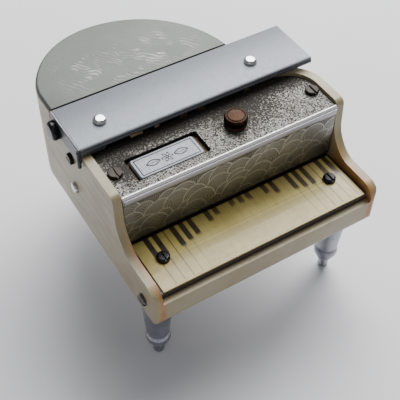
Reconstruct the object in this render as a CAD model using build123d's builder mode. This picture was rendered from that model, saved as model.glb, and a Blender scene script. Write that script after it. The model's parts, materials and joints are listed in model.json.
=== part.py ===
from build123d import *
from math import asin, cos, degrees, hypot, radians, sin
import os

# Table lighter in the shape of a miniature grand piano, in millimetres.
# Pressing the keyboard turns a lever, the lever pulls a link down, and the link turns the
# flap over the wick and the striker wheel. The origin is on the floor, under the middle of
# the whole object. Below, "local" places are measured from the case's middle plane (x),
# from the front edge of the keys (y) and from the floor (z); at(), side() and front() put
# them into the object's frame.

# ---------------------------------------------------------------- driving sizes
case_width = 80.0        # over the cheeks
tail_y = 91.3            # back of the tail
nose_y = -1.9            # front face of the case
wall = 2.8               # moulded wall
leg_height = 32.9        # floor to the underside of the case
case_height = 33.4       # underside of the case to the rim
rail_height = 9.0        # underside of the case to the top of the front rail
cheek_rise = 14.4        # underside of the case to the flat of the cheeks
nose_drop = 4.9          # the cheeks' nose begins this far below their flat
nose_back = 2.8          # y where the nose meets the flat
flat_back = 10.2         # y where the flat ends and the hollow curve begins
hollow_middle = (17.2, 3.6)      # y, and height above the flat, halfway up the hollow curve
hollow_rise = 10.0       # height of the hollow curve
cheek_back = 20.3        # y of the cheeks' steep edge at the top
shoulder_y = 31.0        # y where the straight right side ends
shoulder_radius = 12.4   # the bend from the right side into the waist
waist_turn = 75.0        # how far the side turns there, in degrees
waist_x = 23.1           # x of the waist, where the tail begins
tail_x = -12.75          # x of the tail's backmost point
tail_corner_radius = 18.0
tail_corner_turn = 24.0  # how far the tail's left corner turns, in degrees
corner_radius = 2.0      # front corners seen from above
toe_radius = 1.8         # bottom front edge

# ---------------------------------------------------------------- clearances
fit_gap = 0.15           # fixed pieces inside the case
move_gap = 0.30          # moving pieces past fixed ones
run_gap = 0.05           # radial running clearance of pins and shafts

# ---------------------------------------------------------------- heights
half = case_width / 2
inner_half = half - wall
case_bottom = leg_height
rim_top = case_bottom + case_height
rail_top = case_bottom + rail_height
base_thick = 1.0
boss_height = 5.0        # bosses for the base screws
base_top = case_bottom + base_thick
deck_thick = 0.8
deck_drop = 1.1          # deck below the rim
deck_top = rim_top - deck_drop
deck_under = deck_top - deck_thick
lid_rise = 1.2           # rear lid above the rim
lid_thick = 0.6
lid_top = rim_top + lid_rise
flap_rise = 3.2          # flap above the rim
flap_thick = 0.8
flap_top = rim_top + flap_rise
flap_under = flap_top - flap_thick

# ---------------------------------------------------------------- keyboard
board_length = 22.0      # front edge of the keys to the board's hidden back edge
board_thick = 2.1
key_plate_thick = 0.5
board_side_gap = 0.5
key_plate_inset = 0.8    # from the board's ends
board_under = rail_top + 0.2
board_top = board_under + board_thick
key_top = board_top + key_plate_thick
key_pivot_y = 5.0
key_pivot_z = case_bottom + 5.5
pin_radius = 1.0
key_screw_x = inner_half - 7.1
key_screw_y = 10.6
key_screw_radius = 2.1
key_hole_radius = 1.0
lever_pin_radius = pin_radius - 0.4
lever_thick = 1.0
arm_x = 10.6             # middle of the lever's arm
arm_width = 4.2
arm_depth = 2.2
arm_pin_y = 50.0         # where the arm carries the link

# ---------------------------------------------------------------- fallboard and deck
fallboard_y = 19.9
fallboard_thick = 0.8
fallboard_gap = 1.0      # fallboard above the keys
fallboard_return = 12.0  # height of the fallboard's bent ends
deck_back_y = 44.0
mouth_left = -inner_half + 3.2   # opening in the deck over the wick and the wheel
mouth_right = 8.0
mouth_front = 40.0
window_x = -inner_half + 19.2
window_y = 28.35
window_width = 24.0
window_depth = 9.3
window_radius = 0.7
name_plate_width = 21.5
name_plate_depth = 8.4
name_plate_thick = 1.2
deck_screw_x = inner_half - 2.8
deck_screw_y = 29.5
deck_screw_radius = 2.2
deck_screw_shank = 8.0
screw_radius = 0.9       # holes for the deck, side and base screws, and for the rivets
small_head_radius = 1.9  # heads of the side and base screws
boss_radius = 2.6
base_boss_radius = 3.2
base_screw_x = inner_half - 3.0
base_screw_front = 24.0
tail_boss_turn = radians(40)     # the tail's screw, round the middle of the tail's curve
filler_x = 6.0
filler_y = 29.5
filler_radius = 3.6
filler_height = 2.6
filler_thread = 1.7

# ---------------------------------------------------------------- flap and its hinge
flap_front = 38.5
flap_back = 58.0
flap_right = half + 0.6  # end of the flap over the open air beside the tail
flange_gap = 0.2         # flap's end flange outside the left cheek
flange_thick = 0.7
lip_depth = 2.0
lip_left_depth = 3.0     # the lip is deeper at its left end
lip_left_length = 8.5
hinge_y = 55.0
hinge_z = rim_top - 1.8
hinge_head_radius = 3.1
hinge_head_height = 2.0
hub_radius = 2.2
flap_angle = 60.0        # how far the flap opens
rivet_y = 46.8
rivet_left_x = 10.0 - half
rivet_right_x = half - 17.4
rivet_radius = 2.1
rivet_height = 1.3
crank_boss_radius = 1.3
flange_depth = 5.8       # flap's end flange, down from the flap's top
flange_roll_depth = 7.0  # rolled front edge of the flange
bracket_thick = 0.8
bracket_left = 3.7 - inner_half
bracket_right = half - 14.5
bracket_front = 40.0
tab_thick = 0.8          # tabs that grip the lip from behind
tab_drop = 2.2
bracket_back = 51.5
bracket_under = flap_under - bracket_thick
ear_x = 17.2             # inner face of the bracket's hinge ear
ear_thick = 1.0
crank_x = 12.0           # inner face of the bracket's crank
crank_radius = 6.0
crank_pin_radius = 0.5

# ---------------------------------------------------------------- mechanism
plate_thick = 1.2
plate_gap = 0.4          # side plate, crank and link beside each other
side_plate_x = ear_x - plate_gap - plate_thick
side_plate_front = 46.0
side_plate_back = 62.0
side_plate_top = deck_under - 3.0
side_plate_foot = waist_x - wall - 1.1 - side_plate_x - plate_thick  # turned out, away from the link
link_x = crank_x + ear_thick + plate_gap
link_thick = 1.2
link_stem_y = hinge_y + 4.5
link_stem_width = 2.8
link_foot_drop = 1.6     # link's foot below the lever's pin
link_foot_height = 3.2
link_travel = crank_radius * sin(radians(flap_angle))
key_angle = degrees(asin(link_travel / (arm_pin_y - key_pivot_y)))
slot_play = 0.21         # half the link's lead over the crank's sine motion
flap_sweep = hypot(flap_back - hinge_y, flap_top - hinge_z)
lid_front = hinge_y + (flap_sweep**2 - (lid_top - lid_thick - hinge_z) ** 2) ** 0.5 + move_gap
lid_inset = 0.2
opening = radians(flap_angle)
flap_lean = flap_under - hinge_z     # the flap's underside above the hinge
notch_low = hinge_z + flap_lean * cos(opening) - (flap_back - hinge_y) * sin(opening) - move_gap
notch_front = hinge_y + flap_lean * sin(opening) - move_gap
notch_back = hinge_y + flap_sweep + move_gap
side_screw_place = (47.4, case_bottom + 25.8)
side_pin_place = (47.4, case_bottom + 12.9)

tank_left = 6.2 - inner_half
tank_right = 11.0
tank_front = 22.6
tank_back = 35.6
tank_wall = 0.6
tank_bottom_z = case_bottom + 12.8
tank_top_z = deck_under - 0.7
tower_left = -20.0       # part of the tank that reaches back under the wick
tower_right = -9.0
tower_back = 52.5
tower_top_z = rim_top - 9.4
burner_y = 47.0
wick_x = -14.0
wick_radius = 1.3
wick_above = 1.8         # wick above its tube
wick_below = 5.8         # wick below the top of the tank's tower
wick_tube_radius = 1.8
wick_tube_top = rim_top - 2.7
wheel_x = -5.3
wheel_width = 3.4
wheel_radius = 3.2
wheel_teeth = 28
ratchet_teeth = 10
frame_thick = 0.8        # striker frame's sheet
frame_half = 3.0         # half the frame's depth
flint_length = 5.0
flint_screw_rise = 3.0   # flint screw above the base plate
wheel_z = rim_top - 5.9
ratchet_radius = 2.6
ratchet_width = 1.2
axle_radius = 0.6
flint_radius = 1.25
flint_tube_radius = 2.2
cap_radius = 2.9
cap_wall = 0.6

guide_heights = (case_bottom + 16.0, case_bottom + 23.0)
spring_y = 30.0
pawl_reach = hypot(hinge_y - burner_y, hinge_z - wheel_z) - ratchet_radius - 0.25
pawl_rest = radians(37)  # the tip's direction below the hinge's level, at rest
pawl_tip_y = hinge_y - pawl_reach * cos(pawl_rest)
pawl_tip_z = hinge_z - pawl_reach * sin(pawl_rest)

# ---------------------------------------------------------------- legs
leg_x = inner_half - 3.6
leg_y = 9.0
rear_leg_x = -9.0
rear_leg_y = tail_y - 10.5
leg_top_radius = 5.2
foot_radius = 1.8
leg_places = [(-leg_x, leg_y), (leg_x, leg_y), (rear_leg_x, rear_leg_y)]
stud_radius = 1.5
nut_height = 1.6

# ---------------------------------------------------------------- the object's frame
left_reach = half + flange_gap + flange_thick + 0.1 + hinge_head_height
datum_x = (left_reach - flap_right) / 2
datum_y = -(nose_y + tail_y) / 2
os.makedirs("parts", exist_ok=True)


def at(z):
    """Level plane at height z, in local x and y."""
    return Plane(origin=(datum_x, datum_y, z), x_dir=(1, 0, 0), z_dir=(0, 0, 1))


def side(x):
    """Upright plane at local x that looks along +X: its own axes are local y and z."""
    return Plane(origin=(datum_x + x, datum_y, 0), x_dir=(0, 1, 0), z_dir=(1, 0, 0))


def front(y):
    """Upright plane at local y that looks along -Y: its own axes are local x and z."""
    return Plane(origin=(datum_x, datum_y + y, 0), x_dir=(1, 0, 0), z_dir=(0, -1, 0))


def case_outline(inset=0.0):
    """The piano's outline seen from above, drawn in as far as inset: straight lines and tangent arcs."""
    turn = cos(radians(tail_corner_turn))
    back_radius = (tail_x + half - tail_corner_radius * (1 - turn)) / turn
    tail_rise = tail_corner_radius * sin(radians(tail_corner_turn))
    tail_rise += back_radius * (1 - sin(radians(tail_corner_turn)))
    tail_radius = waist_x - tail_x
    bends = (half - waist_x) / (1 - cos(radians(waist_turn)))
    waist_end = shoulder_y + bends * sin(radians(waist_turn))
    with BuildSketch() as outline:
        with BuildLine():
            left = Line((-half, nose_y), (-half, tail_y - tail_rise))
            corner = JernArc(left @ 1, (0, 1), tail_corner_radius, -tail_corner_turn)
            back = JernArc(corner @ 1, corner % 1, back_radius, tail_corner_turn - 90)
            tail = JernArc(back @ 1, (1, 0), tail_radius, -90)
            run = Line(tail @ 1, (waist_x, waist_end))
            waist = JernArc(run @ 1, (0, -1), bends - shoulder_radius, waist_turn)
            shoulder = JernArc(waist @ 1, waist % 1, shoulder_radius, -waist_turn)
            right = Line(shoulder @ 1, (half, nose_y))
            Line(right @ 1, left @ 0)
        make_face()
        fillet(outline.vertices().group_by(Axis.Y)[0], corner_radius)
        if inset:
            offset(amount=-inset, mode=Mode.REPLACE)
    return outline.sketch


def spot(place, towards=(0, 0, 1)):
    """Plane at a local place that faces towards a direction in the X-Z plane."""
    x, y, z = place
    return Plane(origin=(datum_x + x, datum_y + y, z), x_dir=(0, 1, 0), z_dir=towards)


def block(low, high, mode=Mode.ADD):
    """A block from one local corner to the other, in the part being built."""
    size = [b - a for a, b in zip(low, high)]
    with Locations(at(0)):
        with Locations(low):
            Box(*size, align=(Align.MIN, Align.MIN, Align.MIN), mode=mode)


def bar(start, towards, radius, length, mode=Mode.ADD):
    """A round bar from a local place, in the part being built."""
    with Locations(spot(start, towards)):
        Cylinder(radius, length, align=(Align.CENTER, Align.CENTER, Align.MIN), mode=mode)


def headed(plane, head_radius, head_height, shank_radius, shank, slot=0.0, edge=0.4):
    """A screw, pin or rivet whose head stands on the plane and whose shank goes behind it."""
    with BuildPart() as piece:
        with BuildSketch(plane):
            Circle(head_radius)
        extrude(amount=head_height)
        top = piece.faces().filter_by(Plane(plane.origin, z_dir=plane.z_dir)).sort_by(
            Axis(plane.origin, plane.z_dir)
        )[-1]
        fillet(top.edges(), edge)
        with BuildSketch(plane):
            Circle(shank_radius)
        extrude(amount=-shank)
        if slot:
            with BuildSketch(plane.offset(head_height - slot)):
                Rectangle(2 * head_radius + 1, 0.22 * head_radius + 0.2)
            extrude(amount=slot + 1, mode=Mode.SUBTRACT)
    return piece


def save(piece, name):
    """Name a finished piece and write it."""
    piece.part.label = name
    export_step(piece.part, f"parts/{name}.step")


outer_face = case_outline()
inner_face = case_outline(wall)

# ================================================================ case
with BuildPart() as case_shell:
    with BuildSketch(at(case_bottom)):
        add(outer_face)
    extrude(amount=case_height)
    with BuildSketch(at(case_bottom)):
        add(inner_face)
    extrude(amount=case_height, mode=Mode.SUBTRACT)
    # cheeks: the side view of the case, with its nose, its hollow curve and its upright edge
    flat_z = case_bottom + cheek_rise
    with BuildSketch(side(0)):
        with BuildLine():
            bottom = Line((tail_y + 1, case_bottom), (nose_y + toe_radius, case_bottom))
            toe = RadiusArc(bottom @ 1, (nose_y, case_bottom + toe_radius), toe_radius)
            face = Line(toe @ 1, (nose_y, flat_z - nose_drop))
            nose = TangentArc(face @ 1, (nose_back, flat_z), tangent=(0, 1))
            flat = Line(nose @ 1, (flat_back, flat_z))
            halfway = (hollow_middle[0], flat_z + hollow_middle[1])
            upright = (cheek_back - 0.5, flat_z + hollow_rise)
            hollow = Spline([flat @ 1, halfway, upright], tangents=[(1, 0), (0.06, 1)])
            rise = Line(hollow @ 1, (cheek_back, rim_top - 2))
            crown = TangentArc(rise @ 1, (cheek_back + 2.1, rim_top), tangent=(0.06, 1))
            top = Line(crown @ 1, (tail_y + 1, rim_top))
            Line(top @ 1, bottom @ 0)
        make_face()
    extrude(amount=half + 1, both=True, mode=Mode.INTERSECT)
    # front rail between the cheeks
    with BuildSketch(at(rail_top)):
        with Locations((0, nose_y)):
            Rectangle(2 * inner_half, 2 * wall + 1)
    extrude(amount=case_height, mode=Mode.SUBTRACT)
    # pillars under the deck screws and bosses for the base screws
    with BuildSketch(at(deck_under - 14)) as pillars:
        with Locations(*[(s * (deck_screw_x + 0.2), deck_screw_y) for s in (-1, 1)]):
            Rectangle(2 * boss_radius, 2 * boss_radius)
        add(outer_face, mode=Mode.INTERSECT)
    extrude(amount=14)
    tail_radius = waist_x - tail_x
    tail_boss_reach = tail_radius - wall - 2.6
    tail_boss_x = tail_x + tail_boss_reach * cos(tail_boss_turn)
    tail_boss_y = tail_y - tail_radius + tail_boss_reach * sin(tail_boss_turn)
    base_screw_places = [
        (-base_screw_x, base_screw_front),
        (base_screw_x, base_screw_front),
        (-base_screw_x, tail_y - 27.0),
        (tail_boss_x, tail_boss_y),
    ]
    with BuildSketch(at(base_top)):
        with Locations(*base_screw_places):
            Circle(base_boss_radius)
        add(outer_face, mode=Mode.INTERSECT)
    extrude(amount=boss_height)
    with Locations(at(deck_under)):
        with Locations(*[(s * deck_screw_x, deck_screw_y) for s in (-1, 1)]):
            Hole(radius=screw_radius, depth=10)
    with Locations(at(base_top + boss_height)):
        with Locations(*base_screw_places):
            Hole(radius=screw_radius, depth=boss_height)
    # holes for the pins and screws that pass through the side walls
    bar((-half - 1, key_pivot_y, key_pivot_z), (1, 0, 0), pin_radius, case_width - 1, Mode.SUBTRACT)
    bar((-half - 1, hinge_y, hinge_z), (1, 0, 0), pin_radius + run_gap, wall + 2, Mode.SUBTRACT)
    for screw_y, screw_z in (side_screw_place, side_pin_place):
        bar((-half - 1, screw_y, screw_z), (1, 0, 0), screw_radius, wall + 2, Mode.SUBTRACT)
    # notches in the rim, where the flap's back edge dips as the flap opens
    block((-half - 1, notch_front, notch_low), (half + 1, notch_back, rim_top + 1), Mode.SUBTRACT)
save(case_shell, "case_shell")

with BuildPart() as base_plate:
    with BuildSketch(at(case_bottom)):
        add(case_outline(wall + fit_gap))
        with Locations(*leg_places):
            Circle(stud_radius + 0.1, mode=Mode.SUBTRACT)
        with Locations(*base_screw_places):
            Circle(1.0, mode=Mode.SUBTRACT)
        with Locations((wheel_x, burner_y)):
            Circle(flint_radius + 0.2, mode=Mode.SUBTRACT)
    extrude(amount=base_thick)
save(base_plate, "base_plate")

with BuildPart() as base_screws:
    for screw_x, screw_y in base_screw_places:
        under = spot((screw_x, screw_y, case_bottom), (0, 0, -1))
        shank = base_thick + boss_height - 1
        add(headed(under, small_head_radius, 0.9, screw_radius - run_gap, shank, slot=0.4).part)
save(base_screws, "base_screws")


def leg(x, y):
    """A turned leg: a round foot, a ring, a bead and a cone that widens to the case."""
    with BuildPart() as turned:
        with BuildSketch(front(y)):
            with BuildLine():
                foot = Polyline(
                    (x, 0),
                    (x + foot_radius - 0.4, 0),
                    (x + foot_radius, 0.4),
                    (x + foot_radius, 4.8),
                    (x + 2.8, 5.0),
                    (x + 2.8, 5.7),
                    (x + 2.3, 5.9),
                    (x + 2.3, 6.3),
                    (x + 3.2, 6.6),
                )
                bead = ThreePointArc(foot @ 1, (x + 4.1, 8.6), (x + 3.5, 10.7))
                cone = Polyline(
                    bead @ 1,
                    (x + 3.7, 11.1),
                    (x + leg_top_radius, leg_height - 0.6),
                    (x + leg_top_radius, leg_height),
                    (x + stud_radius, leg_height),
                    (x + stud_radius, leg_height + base_thick + nut_height + 0.8),
                    (x, leg_height + base_thick + nut_height + 0.8),
                )
                Line(cone @ 1, foot @ 0)
            make_face()
        revolve(axis=Axis((datum_x + x, datum_y + y, 0), (0, 0, 1)))
    return turned


save(leg(-leg_x, leg_y), "leg_front_left")
save(leg(leg_x, leg_y), "leg_front_right")
save(leg(rear_leg_x, rear_leg_y), "leg_rear")

with BuildPart() as leg_nuts:
    with BuildSketch(at(base_top)):
        with Locations(*leg_places):
            RegularPolygon(radius=3.1, side_count=6)
            Circle(stud_radius + run_gap, mode=Mode.SUBTRACT)
    extrude(amount=nut_height)
save(leg_nuts, "leg_nuts")

# ================================================================ tops
with BuildPart() as rear_lid:
    with BuildSketch(at(rim_top)):
        add(case_outline(lid_inset))
        with Locations((0, lid_front)):
            Rectangle(3 * half, tail_y, align=(Align.CENTER, Align.MIN), mode=Mode.INTERSECT)
    extrude(amount=lid_rise)
    with BuildSketch(at(rim_top)):
        add(case_outline(lid_inset + 0.7))
    extrude(amount=lid_rise - lid_thick, mode=Mode.SUBTRACT)
    lid_rim = rear_lid.edges().group_by(Axis.Z)[-1]
    fillet([edge for edge in lid_rim if edge.center().Y > datum_y + lid_front + 0.1], 0.8)
save(rear_lid, "rear_lid")

with BuildPart() as deck_plate:
    with BuildSketch(at(deck_under)):
        add(case_outline(wall + fit_gap))
        with Locations((0, fallboard_y)):
            Rectangle(
                3 * half, deck_back_y - fallboard_y, align=(Align.CENTER, Align.MIN), mode=Mode.INTERSECT
            )
        with Locations(((mouth_left + mouth_right) / 2, mouth_front)):
            Rectangle(
                mouth_right - mouth_left, half, align=(Align.CENTER, Align.MIN), mode=Mode.SUBTRACT
            )
        with Locations((window_x, window_y)):
            RectangleRounded(window_width, window_depth, window_radius, mode=Mode.SUBTRACT)
        with Locations((filler_x, filler_y)):
            Circle(filler_radius - 0.4 + fit_gap, mode=Mode.SUBTRACT)
        with Locations((-deck_screw_x, deck_screw_y), (deck_screw_x, deck_screw_y)):
            Circle(1.0, mode=Mode.SUBTRACT)
    extrude(amount=deck_thick)
    chamfer(deck_plate.edges().group_by(Axis.Y)[0].sort_by(Axis.Z)[-1], 0.5)
save(deck_plate, "deck_plate")

for hand, x in (("left", -deck_screw_x), ("right", deck_screw_x)):
    screw_spot = spot((x, deck_screw_y, deck_top))
    shank_radius = screw_radius - run_gap
    deck_screw = headed(screw_spot, deck_screw_radius, 1.0, shank_radius, deck_screw_shank, slot=0.5)
    save(deck_screw, f"deck_screw_{hand}")

with BuildPart() as fallboard:
    board_edge = inner_half - fit_gap
    board_low = key_top + fallboard_gap
    block((-board_edge, fallboard_y, board_low), (board_edge, fallboard_y + fallboard_thick, deck_under))
    for x in (-board_edge, board_edge - fallboard_thick):
        block(
            (x, fallboard_y, deck_under - fallboard_return),
            (x + fallboard_thick, deck_screw_y - boss_radius - fit_gap, deck_under),
        )
save(fallboard, "fallboard")

# ================================================================ fuel tank and burner
tank_low = (tank_left, tank_front, tank_bottom_z)
with BuildPart() as fuel_tank:
    block(tank_low, (tank_right, tank_back, tank_top_z))
    block((tower_left, tank_back - 1, tank_bottom_z), (tower_right, tower_back, tower_top_z))
    bar((filler_x, filler_y, tank_top_z - 1), (0, 0, 1), filler_radius - 0.4, deck_top + 1.1 - tank_top_z)
    block(
        (tank_left + tank_wall, tank_front + tank_wall, tank_bottom_z - 1),
        (tank_right - tank_wall, tank_back - tank_wall, tank_top_z - tank_wall),
        Mode.SUBTRACT,
    )
    block(
        (tower_left + tank_wall, tank_back - 2, tank_bottom_z - 1),
        (tower_right - tank_wall, tower_back - tank_wall, tower_top_z - tank_wall),
        Mode.SUBTRACT,
    )
    bar((filler_x, filler_y, tank_top_z - 2), (0, 0, 1), filler_thread + run_gap, 6, Mode.SUBTRACT)
    bar((wick_x, burner_y, tower_top_z - 2), (0, 0, 1), wick_tube_radius, 4, Mode.SUBTRACT)
save(fuel_tank, "fuel_tank")

with BuildPart() as tank_bottom:
    edge = tank_wall + 0.05
    block(
        (tank_left + edge, tank_front + edge, tank_bottom_z),
        (tank_right - edge, tank_back - edge, tank_bottom_z + 0.8),
    )
    block(
        (tower_left + edge, tank_back - edge, tank_bottom_z),
        (tower_right - edge, tower_back - edge, tank_bottom_z + 0.8),
    )
save(tank_bottom, "tank_bottom")

with BuildPart() as wadding:
    gap = tank_wall + 0.4
    block(
        (tank_left + gap, tank_front + gap, tank_bottom_z + 1.2),
        (tank_right - gap, tank_back - gap, tank_top_z - 4.5),
    )
    block(
        (tower_left + gap, tank_back - gap, tank_bottom_z + 1.2),
        (tower_right - gap, tower_back - gap, tower_top_z - 6),
    )
save(wadding, "wadding")

with BuildPart() as wick_tube:
    bar((wick_x, burner_y, tower_top_z - tank_wall), (0, 0, 1), wick_tube_radius,
        wick_tube_top - tower_top_z + tank_wall)
    bar((wick_x, burner_y, tower_top_z - 1), (0, 0, 1), wick_radius + run_gap, 20, Mode.SUBTRACT)
save(wick_tube, "wick_tube")

with BuildPart() as wick:
    bar((wick_x, burner_y, tower_top_z - wick_below), (0, 0, 1), wick_radius,
        wick_tube_top + wick_above - tower_top_z + wick_below)
save(wick, "wick")

gasket_z = deck_top + 0.1
with BuildPart() as filler_gasket:
    with BuildSketch(at(gasket_z)):
        with Locations((filler_x, filler_y)):
            Circle(filler_radius - 0.4)
            Circle(filler_thread + run_gap, mode=Mode.SUBTRACT)
    extrude(amount=0.5)
save(filler_gasket, "filler_gasket")

with BuildPart() as filler_screw:
    knob_z = gasket_z + 0.52
    with BuildSketch(at(knob_z)):
        with Locations((filler_x, filler_y)):
            Circle(filler_radius)
            with PolarLocations(filler_radius + 0.1, 30):
                Rectangle(0.5, 0.32, mode=Mode.SUBTRACT)
    extrude(amount=filler_height)
    bar((filler_x, filler_y, knob_z + filler_height), (0, 0, 1), filler_radius - 0.35, 0.25)
    bar((filler_x, filler_y, knob_z), (0, 0, -1), filler_thread, 5)
save(filler_screw, "filler_screw")

with BuildPart() as name_plate:
    with BuildSketch(at(tank_top_z)):
        with Locations((window_x - 0.25, window_y - 0.1)):
            RectangleRounded(name_plate_width, name_plate_depth, window_radius)
    extrude(amount=name_plate_thick)
    chamfer(name_plate.faces().sort_by(Axis.Z)[-1].edges(), 0.25)
save(name_plate, "name_plate")

# ================================================================ striker
striker_left = tower_right
striker_right = wheel_x + wheel_width / 2 + ratchet_width + 1.3
flint_tube_top = wheel_z - wheel_radius - 0.15
with BuildPart() as striker_frame:
    for x in (striker_left, striker_right - frame_thick):
        block(
            (x, burner_y - frame_half, tower_top_z - 8),
            (x + frame_thick, burner_y + frame_half, wheel_z + 1.8),
        )
    block(
        (striker_left, burner_y - frame_half, tower_top_z - 3.6),
        (striker_right, burner_y + frame_half, tower_top_z - 2.6),
    )
    bar((wheel_x, burner_y, tower_top_z - 5), (0, 0, 1), flint_tube_radius + run_gap, 5, Mode.SUBTRACT)
    bar((striker_left - 1, burner_y, wheel_z), (1, 0, 0), axle_radius, 12, Mode.SUBTRACT)
save(striker_frame, "striker_frame")

with BuildPart() as striker_axle:
    bar((striker_left, burner_y, wheel_z), (1, 0, 0), axle_radius, striker_right - striker_left + 0.3)
save(striker_axle, "striker_axle")

with BuildPart() as striker_wheel:
    with BuildSketch(side(wheel_x - wheel_width / 2)):
        with Locations((burner_y, wheel_z)):
            Circle(wheel_radius)
            with PolarLocations(wheel_radius, wheel_teeth):
                Rectangle(0.4, 0.3, rotation=45, mode=Mode.SUBTRACT)
            Circle(axle_radius + run_gap, mode=Mode.SUBTRACT)
    extrude(amount=wheel_width)
    with BuildSketch(side(wheel_x + wheel_width / 2)):
        with Locations((burner_y, wheel_z)):
            Circle(ratchet_radius - 0.5)
            with PolarLocations(ratchet_radius - 0.75, ratchet_teeth):
                Triangle(a=1.5, b=1.1, c=1.0, align=(Align.CENTER, Align.CENTER))
            Circle(ratchet_radius, mode=Mode.INTERSECT)
            Circle(axle_radius + run_gap, mode=Mode.SUBTRACT)
    extrude(amount=ratchet_width)
save(striker_wheel, "striker_wheel")

with BuildPart() as flint_tube:
    with BuildSketch(at(base_top)):
        with Locations((wheel_x, burner_y)):
            Circle(flint_tube_radius)
            Circle(flint_radius + 0.1, mode=Mode.SUBTRACT)
    extrude(amount=flint_tube_top - base_top)
save(flint_tube, "flint_tube")

with BuildPart() as flint:
    bar((wheel_x, burner_y, wheel_z - wheel_radius - run_gap), (0, 0, -1), flint_radius, flint_length)
save(flint, "flint")

flint_screw_top = base_top + flint_screw_rise
flint_spot = spot((wheel_x, burner_y, case_bottom), (0, 0, -1))
flint_screw = headed(flint_spot, 2.4, 1.2, flint_radius, flint_screw_top - case_bottom, slot=0.5)
save(flint_screw, "flint_screw")


def coil(place, radius, wire, length, turns):
    """A coil spring that stands on a local place."""
    x, y, z = place
    with BuildPart() as spring:
        with BuildLine(Plane(origin=(datum_x + x, datum_y + y, z + wire))):
            path = Helix(pitch=(length - 2 * wire) / turns, height=length - 2 * wire, radius=radius)
        with BuildSketch(Plane(origin=path @ 0, z_dir=path % 0)):
            Circle(wire)
        sweep()
    return spring


flint_spring_length = wheel_z - wheel_radius - run_gap - flint_length - flint_screw_top
save(coil((wheel_x, burner_y, flint_screw_top), 0.85, 0.2, flint_spring_length, 16), "flint_spring")

# ================================================================ side plates and their fixings
with BuildPart() as side_plate_right:
    with BuildSketch(side(side_plate_x)):
        with Locations(((side_plate_front + side_plate_back) / 2, (base_top + side_plate_top) / 2)):
            Rectangle(side_plate_back - side_plate_front, side_plate_top - base_top)
    extrude(amount=plate_thick)
    with BuildSketch(side(side_plate_x)):
        with Locations((hinge_y, hinge_z)):
            Circle(hub_radius)
        with Locations((hinge_y, side_plate_top - 1)):
            Rectangle(2 * hub_radius + 0.6, 2)
        make_hull()
    extrude(amount=plate_thick)
    block(
        (side_plate_x + plate_thick, side_plate_front, base_top),
        (side_plate_x + plate_thick + side_plate_foot, side_plate_back, base_top + plate_thick),
    )
    bar((side_plate_x - 1, hinge_y, hinge_z), (1, 0, 0), pin_radius, 4, Mode.SUBTRACT)
    for pin_z in guide_heights:
        bar((side_plate_x, link_stem_y, pin_z), (-1, 0, 0), crank_pin_radius, side_plate_x - link_x + 0.3)
save(side_plate_right, "side_plate_right")

with BuildPart() as side_plate_left:
    with BuildSketch(side(-inner_half)):
        with Locations((hinge_y, hinge_z)):
            Circle(hub_radius)
        with Locations((50.5, case_bottom + 19)):
            Rectangle(12, 24)
        make_hull()
        with Locations((hinge_y, hinge_z)):
            Circle(pin_radius, mode=Mode.SUBTRACT)
        with Locations(side_screw_place, side_pin_place):
            Circle(screw_radius, mode=Mode.SUBTRACT)
    extrude(amount=plate_thick)
save(side_plate_left, "side_plate_left")

side_shank = wall + plate_thick
side_screw = headed(
    spot((-half, *side_screw_place), (-1, 0, 0)), small_head_radius, 1.2, screw_radius, side_shank, slot=0.5
)
save(side_screw, "side_screw")
side_pin = headed(
    spot((-half, *side_pin_place), (-1, 0, 0)), small_head_radius, 1.0, screw_radius, side_shank, edge=0.7
)
save(side_pin, "side_pin")
flange_face = -half - flange_gap - flange_thick - 0.1
hinge_shank = -flange_face - inner_half + plate_thick
hinge_spot = spot((flange_face, hinge_y, hinge_z), (-1, 0, 0))
hinge_screw = headed(hinge_spot, hinge_head_radius, hinge_head_height, pin_radius, hinge_shank, edge=1.0)
save(hinge_screw, "hinge_screw")
hinge_pin_spot = spot((ear_x + ear_thick + 0.1, hinge_y, hinge_z), (1, 0, 0))
hinge_pin_shank = ear_thick + 0.1 + plate_gap + plate_thick
save(headed(hinge_pin_spot, 1.6, 0.6, pin_radius, hinge_pin_shank, edge=0.3), "hinge_pin")

# ================================================================ flap
flap_left = -half - flange_gap - flange_thick
with BuildPart() as flap:
    block((flap_left, flap_front, flap_under), (flap_right, flap_back, flap_top))
    block((flap_left, flap_front, flap_top - lip_depth), (flap_right, flap_front + 0.7, flap_top))
    block(
        (flap_left, flap_front, flap_top - lip_left_depth),
        (flap_left + lip_left_length, flap_front + 0.7, flap_top),
    )
    fillet(flap.edges().filter_by(Axis.X).group_by(Axis.Z)[-1].group_by(Axis.Y)[0], 0.5)
    with BuildSketch(side(flap_left)):
        with Locations((hinge_y, hinge_z)):
            Circle(hub_radius + 0.8)
        with Locations(((flap_front + flap_back) / 2, flap_top - flange_depth / 2)):
            Rectangle(flap_back - flap_front, flange_depth)
    extrude(amount=flange_thick)
    bar((flap_left, flap_front + 0.6, flap_top - flange_roll_depth), (0, 0, 1), 0.6, flange_roll_depth - 0.2)
    block(
        (flap_left + flange_thick, flap_front, flap_top - 8),
        (flap_left + flange_thick + 1, flap_front + 3, flap_top - lip_left_depth),
        Mode.SUBTRACT,
    )
    bar((flap_left - 1, hinge_y, hinge_z), (1, 0, 0), pin_radius + run_gap, 3, Mode.SUBTRACT)
    for x in (rivet_left_x, rivet_right_x):
        bar((x, rivet_y, flap_under - 1), (0, 0, 1), screw_radius, 3, Mode.SUBTRACT)
save(flap, "flap")

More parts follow.
